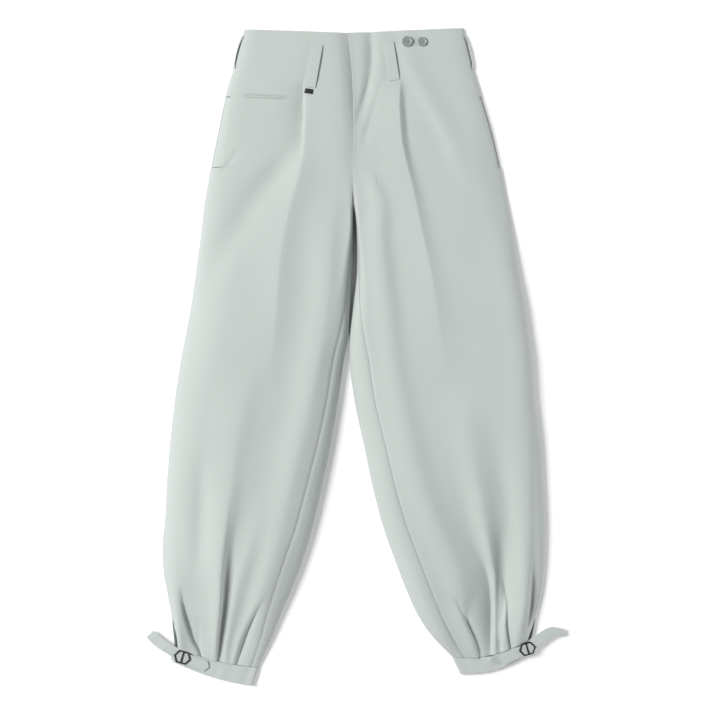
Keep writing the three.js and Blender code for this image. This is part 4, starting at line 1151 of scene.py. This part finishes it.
# %% Strips on the fronts
TRIM_WALL = 1.2
LOOP_BOW = 2.0
LOOP_CROWN = 0.25
LOOP_PRESS = 0.25
LOOP_EDGE = 0.3
TRIM_EDGE = 0.25
PRESS_ROWS = 3.0
front_loops = {"right": ((-51.6, 26), (-63, 91)), "left": ((54, 23), (63, 81))}


def strip_grid(leg, start, end, width, bow, rows, columns, crown, press=0.0):
    """The outer face of a strip that lies on a front from one point to another.

    bow is how far its middle stands off, crown how much lower its long edges are, press that of its ends.
    """
    along = np.array(end, float) - np.array(start, float)
    sideways = np.array([-along[1], along[0]]) / np.linalg.norm(along) * width * leg["to_inside"]
    share = np.linspace(0, 1, rows)[:, None]
    aside = np.linspace(-0.5, 0.5, columns)[None, :]
    x = start[0] + along[0] * share + sideways[0] * aside
    drop = start[1] + along[1] * share + sideways[1] * aside
    end_press = press * np.exp(-((np.minimum(share, 1 - share) * rows / PRESS_ROWS) ** 2))
    lift = HALF_WALL + SEAM_GAP + TRIM_WALL + bow * np.sin(np.pi * share) ** 0.6 - end_press
    lift = lift - crown * (2 * np.abs(aside)) ** 4
    return above_front(leg, x, drop, lift)[0]


for leg in (right, left):
    start, end = front_loops[leg["name"]]
    grid = strip_grid(leg, start, end, LOOP_WIDTH, LOOP_BOW, 48, 16, LOOP_CROWN, LOOP_PRESS)
    add_cloth("belt_loop_front_" + leg["name"], grid, TRIM_CLOTH, UNDER, LOOP_EDGE)

LABEL_TOP = (-63.1, 91.9)
LABEL_LEAN = 0.175
LABEL_GAP = 1.2
LABEL_LENGTH = 7.2
LABEL_WIDTH = 11.5
LABEL_CROWN = 0.15
label_along = np.array([-math.sin(LABEL_LEAN), 1])
label_start = np.array(LABEL_TOP) + LABEL_GAP * label_along
label_end = label_start + LABEL_LENGTH * label_along
label_grid = strip_grid(right, label_start, label_end, LABEL_WIDTH, 0, 10, 12, LABEL_CROWN)
add_cloth("label_tab", label_grid, TRIM_CLOTH, UNDER, TRIM_EDGE, label_black, "label_cloth")

# %% [markdown]
# The coin pocket has a narrow welt with two lips. It is the same strip once more, thin, with the slot
# between the lips pressed in and the right end worked flat into the front.

# %% Coin pocket welt
WELT_ROWS = 70
WELT_COLUMNS = 27
WELT_START = (-160, 102.6)
WELT_END = (-97.5, 105.4)
WELT_WIDTH = 6
WELT_CROWN = 0.35
WELT_CLOTH = 0.45
WELT_PUFF = 0.8
WELT_GROOVE = 2.4
GROOVE_WIDTH = 0.13
GROOVE_ASIDE = 0.02
# How far the right end sinks into the front, and a small dip at the left one
END_SINK = 1.3
START_DIP = 0.7
welt_grid = strip_grid(right, WELT_START, WELT_END, WELT_WIDTH, 0, WELT_ROWS, WELT_COLUMNS, WELT_CROWN)
welt_side = np.linspace(-0.5, 0.5, WELT_COLUMNS)
welt_share = np.linspace(0, 1, WELT_ROWS)
puff = WELT_PUFF * (1 - (2 * welt_side) ** 2)
groove = WELT_GROOVE * np.exp(-(((welt_side + GROOVE_ASIDE) / GROOVE_WIDTH) ** 4))
open_part = smoothstep(0, 0.03, welt_share) * smoothstep(0, 0.14, 1 - welt_share)
sink = END_SINK * smoothstep(0.84, 1, welt_share)
dip = START_DIP * np.exp(-(((welt_share - 0.015) / 0.012) ** 2))
welt_grid[..., 2] += (puff - groove)[None, :] * open_part[:, None] - (sink + dip)[:, None]
add_cloth("coin_pocket_welt", welt_grid, WELT_CLOTH, UNDER)

# %% [markdown]
# At the side seams the belt loops are seen edge on. Each one wraps round the edge where it is sewn down.
# Its free middle stands upright beside the edge and bows outward, which leaves a dark slit between them,
# and its lower side turns in below the edge.

# %% Loops at the side seams
SIDE_LOOP_DROPS = (13, 62)
SIDE_LOOP_TOP = 3
SIDE_LOOP_BOW = 2.0
SIDE_LOOP_TUCK = 1.2
SIDE_LOOP_LOW = 0.9
SIDE_LOOP_LEAST = 0.3


def side_loop_grid(leg):
    """Sewn down it lies on the front's edge, and free it stands on edge, by the share that free gives."""
    share = np.linspace(0, 1, 40)[:, None]
    place, size = at_drop(leg, lerp(*SIDE_LOOP_DROPS, share))
    free = np.sin(np.pi * share) ** 0.7
    lift = HALF_WALL + SEAM_GAP + TRIM_WALL / 2
    on_top = SIDE_LOOP_TOP * np.linspace(1, 0, 14) ** 1.5
    across = on_top / size["width"]
    top = upper_surface(leg, place, across) + upper_normals(leg, place, across) * lift
    upright = np.repeat(top[:, -1:], len(on_top), axis=1)
    upright[..., 2] += on_top
    top = lerp(top, upright, free[..., None])
    foot = top[:, -1:].copy()
    foot[..., 2] = SIDE_LOOP_LOW
    down_share = np.linspace(0, 1, 5)[1:]
    down = lerp(top[:, -1:], foot, down_share[None, :, None])
    middle = np.concatenate([top, down], axis=1)
    below = np.concatenate([np.zeros(len(on_top)), down_share ** 1.5])
    aside = lerp(SIDE_LOOP_BOW, -SIDE_LOOP_TUCK, below) * free
    middle[..., 0] -= leg["to_inside"] * aside
    normals = unit(grid_facing(middle))
    normals *= -leg["to_inside"] * np.sign(normals[20, -1, 0])
    points = middle + normals * (TRIM_WALL / 2)
    points[..., 2] = np.maximum(points[..., 2], SIDE_LOOP_LEAST)
    return points


for leg in (right, left):
    inward = np.array([leg["to_inside"] * 60, 0, -40])
    add_cloth("belt_loop_side_" + leg["name"], side_loop_grid(leg), TRIM_CLOTH, inward, TRIM_EDGE)

# %% [markdown]
# The loop at the centre back is under the garment. It lies flat on the table, and the cloth above it is
# hollowed by its thickness.

# %% Loop at the centre back
BACK_LOOP_CLOTH = 0.95
loop_share = np.linspace(0, 1, 30)[:, None]
loop_x = (np.linspace(-0.5, 0.5, 12) * LOOP_WIDTH)[None, :]
loop_z = LOOP_CROWN * (np.abs(loop_x) / (LOOP_WIDTH / 2)) ** 4
back_loop_grid = as_points(loop_x, lerp(BACK_LOOP_TOP, BACK_LOOP_END, loop_share), loop_z)
add_cloth("belt_loop_back", back_loop_grid, BACK_LOOP_CLOTH, ABOVE, TRIM_EDGE)

# %% [markdown]
# The cuff's strap is sewn down by its pointed end, runs under the buckle and ends free beyond the side
# edge. It is folded twill, so it is stiff enough to lie in one smooth curve, with a crease where it was
# threaded.

# %% Straps
STRAP_WIDTH = 16
STRAP_WALL = 1.6
STRAP_ROWS = 72
STRAP_COLUMNS = 17
STRAP_CLOTH = 1.4
STRAP_EDGE = 0.3
STRAP_POINT = 4.8
STRAP_POINT_SHARE = 0.10
STRAP_CROWN = 0.3
# Height, place and width of the creases where the strap was threaded
STRAP_CREASES = ((0.5, 0.72, 0.018), (-0.4, 0.86, 0.03))
# Points of each strap's middle line: x, drop and how far it stands up. Then the free tip: its share of the
# length, and how far its two corners are cut in.
strap_paths = {
    "right": [(-214, 958, 0), (-232, 951.5, 0.3), (-253.8, 942.3, 1), (-270, 932, 1), (-289.5, 919.5, -0.5),
              (-302, 907.5, -2.5)],
    "left": [(222, 949, 0), (240, 940.5, 0.3), (262, 929.7, 1), (278, 917.5, 1), (295.5, 906.5, 0),
             (318, 902.5, -2.5)],
}
strap_tips = {"right": (0.10, 1.5, 0.0), "left": (0.22, 0.5, 6.5)}


def strap_grid(leg):
    path = np.array(strap_paths[leg["name"]], float)
    fine = np.linspace(0, len(path) - 1, 600)
    line = np.stack([smooth_at(path[:, k], fine) for k in range(3)], axis=1)
    length = np.concatenate([[0], np.cumsum(np.linalg.norm(np.diff(line[:, :2], axis=0), axis=1))])
    share = np.linspace(0, 1, STRAP_ROWS)
    line = np.stack([np.interp(share * length[-1], length, line[:, k]) for k in range(3)], axis=1)
    ahead = unit(np.gradient(line[:, :2], axis=0))
    sideways = np.stack([ahead[:, 1], -ahead[:, 0]], axis=1)
    aside = np.linspace(-1, 1, STRAP_COLUMNS)[None, :]
    tip, round_low, round_high = strap_tips[leg["name"]]
    near = smoothstep(1 - tip, 1, share)[:, None]
    half = STRAP_WIDTH / 2 - np.where(aside < 0, round_low, round_high) * near ** 2
    point = STRAP_POINT * np.abs(aside) * np.clip(1 - share / STRAP_POINT_SHARE, 0, 1)[:, None]
    flat = (line[:, None, :2] + sideways[:, None, :] * (aside * half)[..., None]
            + ahead[:, None, :] * point[..., None])
    height = CUFF_TOP + SEAM_GAP + STRAP_WALL + line[:, 2] * (TRIM_WALL + SEAM_GAP)
    crease = sum(rise * np.exp(-(((share - at) / width) ** 2)) for rise, at, width in STRAP_CREASES)
    z = (height + crease)[:, None] - STRAP_CROWN * np.abs(aside) ** 6
    return as_points(flat[..., 0], flat[..., 1], z)


for leg in (right, left):
    add_cloth("cuff_strap_" + leg["name"], strap_grid(leg), STRAP_CLOTH, UNDER, STRAP_EDGE)

# %% [markdown]
# A short doubled tab holds each buckle on the lower end of the cuff. It folds round the buckle's bar side
# and is sewn down on both faces of the cuff, so it is one strip bent into a narrow U.

# %% Tabs that hold the buckles
TAB_WIDTH = 13
TAB_REACH = 14
TAB_COLUMNS = 8
TAB_START = 0.05
TAB_BEND = (1.1, 2.2)
# Place and turn of each buckle
buckle_places = {"right": (-253.8, 942.3, -16.5), "left": (262, 929.7, 16)}


def tab_grid(leg):
    size = section_at(leg, np.array(len(leg["sections"]["outer_x"]) - 1.0))
    top = np.array([size["outer_x"], size["outer_drop"]])
    edge = unit(np.array(leg["cuff_end"]["outer"], float) - top)
    inward = np.array([edge[1], -edge[0]])
    inward *= np.sign(inward[0]) * leg["to_inside"]
    centre = np.array(buckle_places[leg["name"]][:2])
    middle = top + edge * np.dot(centre - top, edge)
    high = CUFF_TOP + SEAM_GAP + TRIM_WALL / 2
    low = CUFF_WALL + SEAM_GAP + TRIM_WALL / 2
    angle = np.linspace(0, np.pi, 15)
    flat = TAB_REACH * np.linspace(1, TAB_START, TAB_COLUMNS)
    bend = -TAB_BEND[0] - TAB_BEND[1] * np.sin(angle)
    reach = np.concatenate([flat, bend, flat[::-1]])
    turn_z = (low + high) / 2 - (high - low) / 2 * np.cos(angle)
    z = np.concatenate([np.full(TAB_COLUMNS, low), turn_z, np.full(TAB_COLUMNS, high)])
    base = middle + edge * (np.linspace(-0.5, 0.5, 14) * TAB_WIDTH)[:, None]
    at = base[:, None, :] + inward * reach[None, :, None]
    line = as_points(at[..., 0], at[..., 1], z[None, :])
    normals = unit(grid_facing(line))
    normals *= np.sign(normals[7, -2, 2])
    return line + normals * (TRIM_WALL / 2)


for leg in (right, left):
    add_cloth("buckle_tab_" + leg["name"], tab_grid(leg), TRIM_CLOTH, WITHIN, TRIM_EDGE)

# %% [markdown]
# The buckle is a six-sided frame of bent wire with a bar across its middle, in dark antiqued metal. A
# filled circle of six sides is drawn out to the frame's length, inset and opened, then extruded and
# beveled until it is round. The bar is a box, beveled the same way.

# %% Buckles
BUCKLE_HALF_LENGTH = 13
BUCKLE_HALF_WIDTH = 9.6
BUCKLE_SHOULDER = 7.2
BUCKLE_WIRE = 2.0
BUCKLE_THICKNESS = 1.8
BAR_INSET = 0.8
BAR_SHARE = 0.9
FRAME_ROUND = 0.55
BAR_ROUND = 0.6
METAL_ANGLE = math.radians(50)
METAL_SMOOTH = math.radians(35)
buckle_seat = CUFF_TOP + SEAM_GAP + TRIM_WALL + SEAM_GAP + STRAP_WALL + SEAM_GAP


def round_edges(piece, width):
    add_bevel(piece, width, 3, METAL_ANGLE)
    apply_modifiers(piece)


def hexagon_corners():
    a, b, c = BUCKLE_HALF_LENGTH, BUCKLE_SHOULDER, BUCKLE_HALF_WIDTH
    return [(a, 0), (b, c), (-b, c), (-a, 0), (-b, -c), (b, -c)]


def apply_place(piece):
    """Puts the piece's place, turn and scale into its mesh."""
    select_only(piece)
    bpy.ops.object.transform_apply(location=True, rotation=True, scale=True)


def make_buckle(name, x, drop, turn):
    bpy.ops.object.select_all(action="DESELECT")
    bpy.ops.mesh.primitive_circle_add(vertices=6, radius=1, fill_type="NGON")
    ring = bpy.context.active_object
    around = sorted(ring.data.vertices, key=lambda v: math.atan2(v.co.y, v.co.x) % math.tau)
    corners = sorted(hexagon_corners(), key=lambda c: math.atan2(c[1], c[0]) % math.tau)
    for vertex, corner in zip(around, corners):
        vertex.co = (corner[0] * MM, corner[1] * MM, 0)
    bpy.ops.object.mode_set(mode="EDIT")
    bpy.ops.mesh.select_all(action="SELECT")
    bpy.ops.mesh.inset(thickness=BUCKLE_WIRE * MM)
    bpy.ops.mesh.delete(type="FACE")
    bpy.ops.mesh.select_all(action="SELECT")
    bpy.ops.mesh.extrude_region_move(TRANSFORM_OT_translate={"value": (0, 0, BUCKLE_THICKNESS * MM)})
    bpy.ops.mesh.select_all(action="SELECT")
    bpy.ops.mesh.normals_make_consistent(inside=False)
    bpy.ops.object.mode_set(mode="OBJECT")
    round_edges(ring, FRAME_ROUND)
    bpy.ops.mesh.primitive_cube_add(size=1, location=(0, 0, BUCKLE_THICKNESS / 2 * MM))
    bar = bpy.context.active_object
    bar_length = 2 * (BUCKLE_HALF_WIDTH - BAR_INSET)
    bar.scale = Vector((BUCKLE_WIRE, bar_length, BUCKLE_THICKNESS * BAR_SHARE)) * MM
    apply_place(bar)
    round_edges(bar, BAR_ROUND)
    select_only(ring)
    bar.select_set(True)
    bpy.ops.object.join()
    ring.name = name
    ring.data.name = name
    ring.rotation_euler = (0, 0, math.radians(turn))
    ring.location = Vector((x * MM, -drop * MM, buckle_seat * MM)) + Vector(origin)
    apply_place(ring)
    bpy.ops.object.shade_smooth_by_angle(angle=METAL_SMOOTH)
    ring.data.materials.append(metal)
    return ring


for leg in (right, left):
    x, drop, turn = buckle_places[leg["name"]]
    name = "buckle_" + leg["name"]
    settle(make_buckle("metal_" + name, x, drop, turn), "buckle_metal", name)

# %% [markdown]
# Two buttons are sewn on at the waist. Each is a turned disc with a rolled rim, a dished middle and four
# holes, with the thread crossing between them. A cylinder is inset and moved to shape its face, and four
# small cylinders cut its holes.

# %% Buttons
BUTTON_THICKNESS = 2.6
HOLE_RADIUS = 0.9
HOLE_SPACING = 2.6
RIM_WIDTH = 1.3
RIM_FALL = (0.6, -0.35)
# The dish: each ring's width as a share of the radius, and its fall
DISH = ((0.16, -0.35), (0.12, -0.15))
BUTTON_ROUND = 0.45
RESIN_SMOOTH = math.radians(30)
# Place and radius of each button
button_places = {"button_inner": (82.5, 22.5, 8), "button_outer": (105, 22.5, 7)}


def inset_by(amount, lift):
    bpy.ops.mesh.inset(thickness=amount * MM)
    bpy.ops.transform.translate(value=(0, 0, lift * MM))


def cut_hole(disc, x, y):
    bpy.ops.mesh.primitive_cylinder_add(
        vertices=20, radius=HOLE_RADIUS * MM, depth=4 * BUTTON_THICKNESS * MM, location=(x * MM, y * MM, 0))
    drill = bpy.context.active_object
    cut = disc.modifiers.new("hole", "BOOLEAN")
    cut.operation = "DIFFERENCE"
    cut.object = drill
    apply_modifiers(disc)
    bpy.data.objects.remove(drill)


def place_on_surface(piece, leg, x, drop, lift):
    """Turns a piece that stands on z = 0 to lie on the front, and applies its place."""
    points, normals = above_front(leg, np.array(x), np.array(drop), np.array(lift))
    piece.rotation_mode = "QUATERNION"
    piece.rotation_quaternion = Vector(normals).to_track_quat("Z", "Y")
    piece.location = Vector(points * MM + origin)
    apply_place(piece)


def make_button(name, x, drop, radius):
    bpy.ops.object.select_all(action="DESELECT")
    bpy.ops.mesh.primitive_cylinder_add(
        vertices=56, radius=radius * MM, depth=BUTTON_THICKNESS * MM,
        location=(0, 0, BUTTON_THICKNESS / 2 * MM))
    disc = bpy.context.active_object
    apply_place(disc)
    bpy.ops.object.mode_set(mode="EDIT")
    bpy.ops.mesh.select_all(action="DESELECT")
    bpy.ops.object.mode_set(mode="OBJECT")
    for face in disc.data.polygons:
        face.select = face.normal.z > 0.9
    bpy.ops.object.mode_set(mode="EDIT")
    bpy.ops.mesh.select_mode(type="FACE")
    inset_by(RIM_WIDTH, 0.0)
    inset_by(*RIM_FALL)
    for share, fall in DISH:
        inset_by(radius * share, fall)
    bpy.ops.object.mode_set(mode="OBJECT")
    round_edges(disc, BUTTON_ROUND)
    for side_x in (-0.5, 0.5):
        for side_y in (-0.5, 0.5):
            cut_hole(disc, side_x * HOLE_SPACING, side_y * HOLE_SPACING)
    disc.name = name
    disc.data.name = name
    select_only(disc)
    bpy.ops.object.shade_smooth_by_angle(angle=RESIN_SMOOTH)
    disc.data.materials.append(resin)
    place_on_surface(disc, left, x, drop, HALF_WALL + SEAM_GAP)
    return disc


for name, (x, drop, radius) in button_places.items():
    settle(make_button("resin_" + name, x, drop, radius), "button_resin", name)

# %% [markdown]
# Thread holds it all together. One stitch is modelled from a small sphere, drawn out along the seam, and is
# copied along every line of stitching, a little sunk in the cloth, with its own turn and height each time.

# %% One stitch and lines of them
bpy.ops.object.select_all(action="DESELECT")
bpy.ops.mesh.primitive_uv_sphere_add(segments=6, ring_count=5, radius=1)
pattern = bpy.context.active_object
stitch_points = np.array([v.co[:] for v in pattern.data.vertices])
stitch_faces = [tuple(f.vertices) for f in pattern.data.polygons]
bpy.data.objects.remove(pattern)
print("faces a stitch:", len(stitch_faces))


def stitches_on(path, normals, stitch):
    """Ellipsoids along a path, in millimetres. A stitch has a length, a pitch and a girth."""
    length, pitch, girth = stitch
    steps = np.linalg.norm(np.diff(path, axis=0), axis=1)
    at = np.concatenate([[0], np.cumsum(steps)])
    count = max(1, int(at[-1] / pitch))
    centres = (np.arange(count) + 0.5) * at[-1] / count
    centre = np.stack([np.interp(centres, at, path[:, k]) for k in range(3)], axis=1)
    ahead = np.stack([np.interp(centres, at, np.gradient(path[:, k])) for k in range(3)], axis=1)
    up = np.stack([np.interp(centres, at, normals[:, k]) for k in range(3)], axis=1)
    ahead = unit(ahead)
    side = unit(np.cross(up, ahead))
    up = np.cross(ahead, side)
    scaled = stitch_points * (length / 2, girth / 2, girth / 2)
    points = (
        centre[:, None, :] + ahead[:, None, :] * scaled[None, :, 0:1]
        + side[:, None, :] * scaled[None, :, 1:2] + up[:, None, :] * scaled[None, :, 2:3]
    )
    faces = [tuple(v + k * len(stitch_points) for v in f) for k in range(count) for f in stitch_faces]
    return points.reshape(-1, 3), faces


def sew(name, lines):
    """One piece from several lines of stitches."""
    points = []
    faces = []
    total = 0
    for line_points, line_faces in lines:
        points.append(line_points)
        faces += [tuple(v + total for v in f) for f in line_faces]
        total += len(line_points)
    mesh = bpy.data.meshes.new(name)
    mesh.from_pydata((np.concatenate(points) * MM + origin).tolist(), [], faces)
    mesh.polygons.foreach_set("use_smooth", np.ones(len(faces), bool))
    mesh.materials.append(thread)
    mesh.uv_layers.new(name="UVMap")
    piece = bpy.data.objects.new(name, mesh)
    bpy.context.scene.collection.objects.link(piece)
    settle(piece, "twill")


def on_front(leg, x, drop, lift):
    return above_front(leg, np.asarray(x, float), np.asarray(drop, float), np.full(np.shape(x), lift))


def line_between(start, end, count=30):
    share = np.linspace(0, 1, count)
    return lerp(start[0], end[0], share), lerp(start[1], end[1], share)


# %% [markdown]
# The bars at the ends of the belt loops and the rows along the straps are close, even machine stitches.
# They sit on top of the strip, so each line follows the strip's own outer face.

# %% Stitching on the loops and the straps
BAR_STITCH = (1.5, 1.7, 0.5)
BAR_IN = 2.2
BAR_HALF_LENGTH = 7.2
BAR_LIFT = 2.45
STRAP_STITCH = (2.0, 2.7, 0.4)
STRAP_END_STITCH = (1.6, 2.0, 0.4)
STRAP_END_ROW = 9
ROW_IN = 2
STITCH_LIFT = (0, 0, 0.02)
lines = []
for leg in (right, left):
    start, end = (np.array(p) for p in front_loops[leg["name"]])
    along = unit(end - start)
    sideways = np.array([-along[1], along[0]]) * BAR_HALF_LENGTH
    for at in (start + along * BAR_IN, end - along * BAR_IN):
        x, drop = line_between(at - sideways, at + sideways)
        lines.append(stitches_on(*on_front(leg, x, drop, BAR_LIFT), BAR_STITCH))
sew("stitches_belt_loops", lines)

lines = []
for leg in (right, left):
    grid = strap_grid(leg) + STITCH_LIFT
    rows = [(grid[4:-2, ROW_IN], STRAP_STITCH), (grid[4:-2, -1 - ROW_IN], STRAP_STITCH)]
    rows.append((grid[STRAP_END_ROW, ROW_IN:-ROW_IN], STRAP_END_STITCH))
    lines += [stitches_on(path, np.tile((0.0, 0.0, 1.0), (len(path), 1)), stitch) for path, stitch in rows]
sew("stitches_straps", lines)

# %% [markdown]
# The pocket mouth and the fly are topstitched a few millimetres from the edge, and short tacks close the
# ends. The lines follow the front's surface, folds and all.

# %% Stitching along the pocket mouths and the fly
TOPSTITCH = (2.2, 3.0, 0.35)
TOPSTITCH_IN = 2.5
TOPSTITCH_LIFT = 0.85
TACK_LIFT = 0.95
FLY_LIFTS = (HALF_WALL + 0.1, HALF_WALL + 0.15)
POCKET_TACK = (0.8, 0.9, 0.55)
TACK_REACH = (-2, 7)
FLY_TACK = (1.1, 0.9, 0.7)


def beside_edge(leg, drop, inset, lift, stitch):
    """Stitches on the front at an inset from the side edge."""
    place, size = at_drop(leg, drop)
    across = inset / size["width"]
    normals = upper_normals(leg, place, across)
    return stitches_on(upper_surface(leg, place, across) + normals * lift, normals, stitch)


lines = []
for leg in (right, left):
    drop = np.linspace(POCKET_TOP_DROP + 2, POCKET_END_DROP - 2, 80)
    lines.append(beside_edge(leg, drop, front_inset(leg, drop) + TOPSTITCH_IN, TOPSTITCH_LIFT, TOPSTITCH))
    for end_drop, inset in zip((POCKET_TOP_DROP - 2, POCKET_END_DROP + 2), leg["pocket_inset"]):
        drop = np.full(12, float(end_drop))
        reach = inset + np.linspace(*TACK_REACH, len(drop))
        lines.append(beside_edge(leg, drop, reach, TACK_LIFT, POCKET_TACK))
sew("stitches_pockets", lines)

fly_curve = table(("x", "drop"), [
    (36, 150), (36, 200), (35.5, 228), (33, 246), (28, 260), (20, 271), (10, 279), (6.5, 281),
])
fine = np.linspace(0, len(fly_curve["x"]) - 1, 90)
fly_x, fly_drop = (smooth_at(fly_curve[name], fine) for name in ("x", "drop"))
fly_path = on_front(left, fly_x, fly_drop, FLY_LIFTS[0])
tack_path = on_front(left, *line_between((36, 227), (36, 241), 14), FLY_LIFTS[1])
sew("stitches_fly", [stitches_on(*fly_path, TOPSTITCH), stitches_on(*tack_path, FLY_TACK)])

# %% [markdown]
# Two short bars of thread cross each button from hole to hole, sunk a little below its rim.

# %% Thread on the buttons
BUTTON_THREAD = (3.2, 9.0, 0.8)
THREAD_SINK = 0.75
lines = []
for x, drop, _ in button_places.values():
    for side in (-0.5, 0.5):
        row = drop + side * HOLE_SPACING
        path = line_between((x - HOLE_SPACING / 2, row), (x + HOLE_SPACING / 2, row), 12)
        lift = HALF_WALL + SEAM_GAP + BUTTON_THICKNESS - THREAD_SINK
        lines.append(stitches_on(*on_front(left, *path, lift), BUTTON_THREAD))
sew("thread_buttons", lines)

# %% [markdown]
# Every sheet of cloth also has a row with the size it was cut to, in metres, all round where it is a band,
# its area where it is no rectangle, and the piece that it rests on. Only the width and the length are
# printed, beside the area of one face of the piece as built.

# %% Flat sizes
flat_cuts = {
    "front_right": (0.31, 0.99, 0.205, "back_right"),
    "front_left": (0.31, 0.98, 0.212, "back_left"),
    "back_right": (0.32, 0.99, 0.224, "belt_loop_back"),
    "back_left": (0.32, 0.98, 0.244, "belt_loop_back"),
    "pocket_facing_right": (0.03, 0.105, 0.0028, "back_right"),
    "pocket_facing_left": (0.021, 0.105, 0.0019, "back_left"),
    "cuff_right": (0.24, 0.03, 0.0068, None),
    "cuff_left": (0.225, 0.03, 0.0056, None),
    "belt_loop_front_right": (0.017, 0.068, None, "front_right"),
    "belt_loop_front_left": (0.017, 0.061, None, "front_left"),
    "belt_loop_side_right": (0.01, 0.049, 0.0004, "front_right"),
    "belt_loop_side_left": (0.01, 0.049, 0.0004, "front_left"),
    "belt_loop_back": (0.017, 0.066, None, None),
    "coin_pocket_welt": (0.01, 0.063, 0.0005, "front_right"),
    "label_tab": (0.0115, 0.01, 0.0001, "front_right"),
    "cuff_strap_right": (0.016, 0.107, None, "cuff_right"),
    "cuff_strap_left": (0.016, 0.111, None, "cuff_left"),
    "buckle_tab_right": (0.013, 0.043, None, "cuff_right"),
    "buckle_tab_left": (0.013, 0.043, None, "cuff_left"),
}
for name, (width, length, area, below) in flat_cuts.items():
    piece = bpy.data.objects["cloth_" + name]
    half_area = sum(face.area for face in piece.data.polygons) / 2
    print(name, "flat, m:", width, length, "area of one face, m2:", round(half_area, 5))
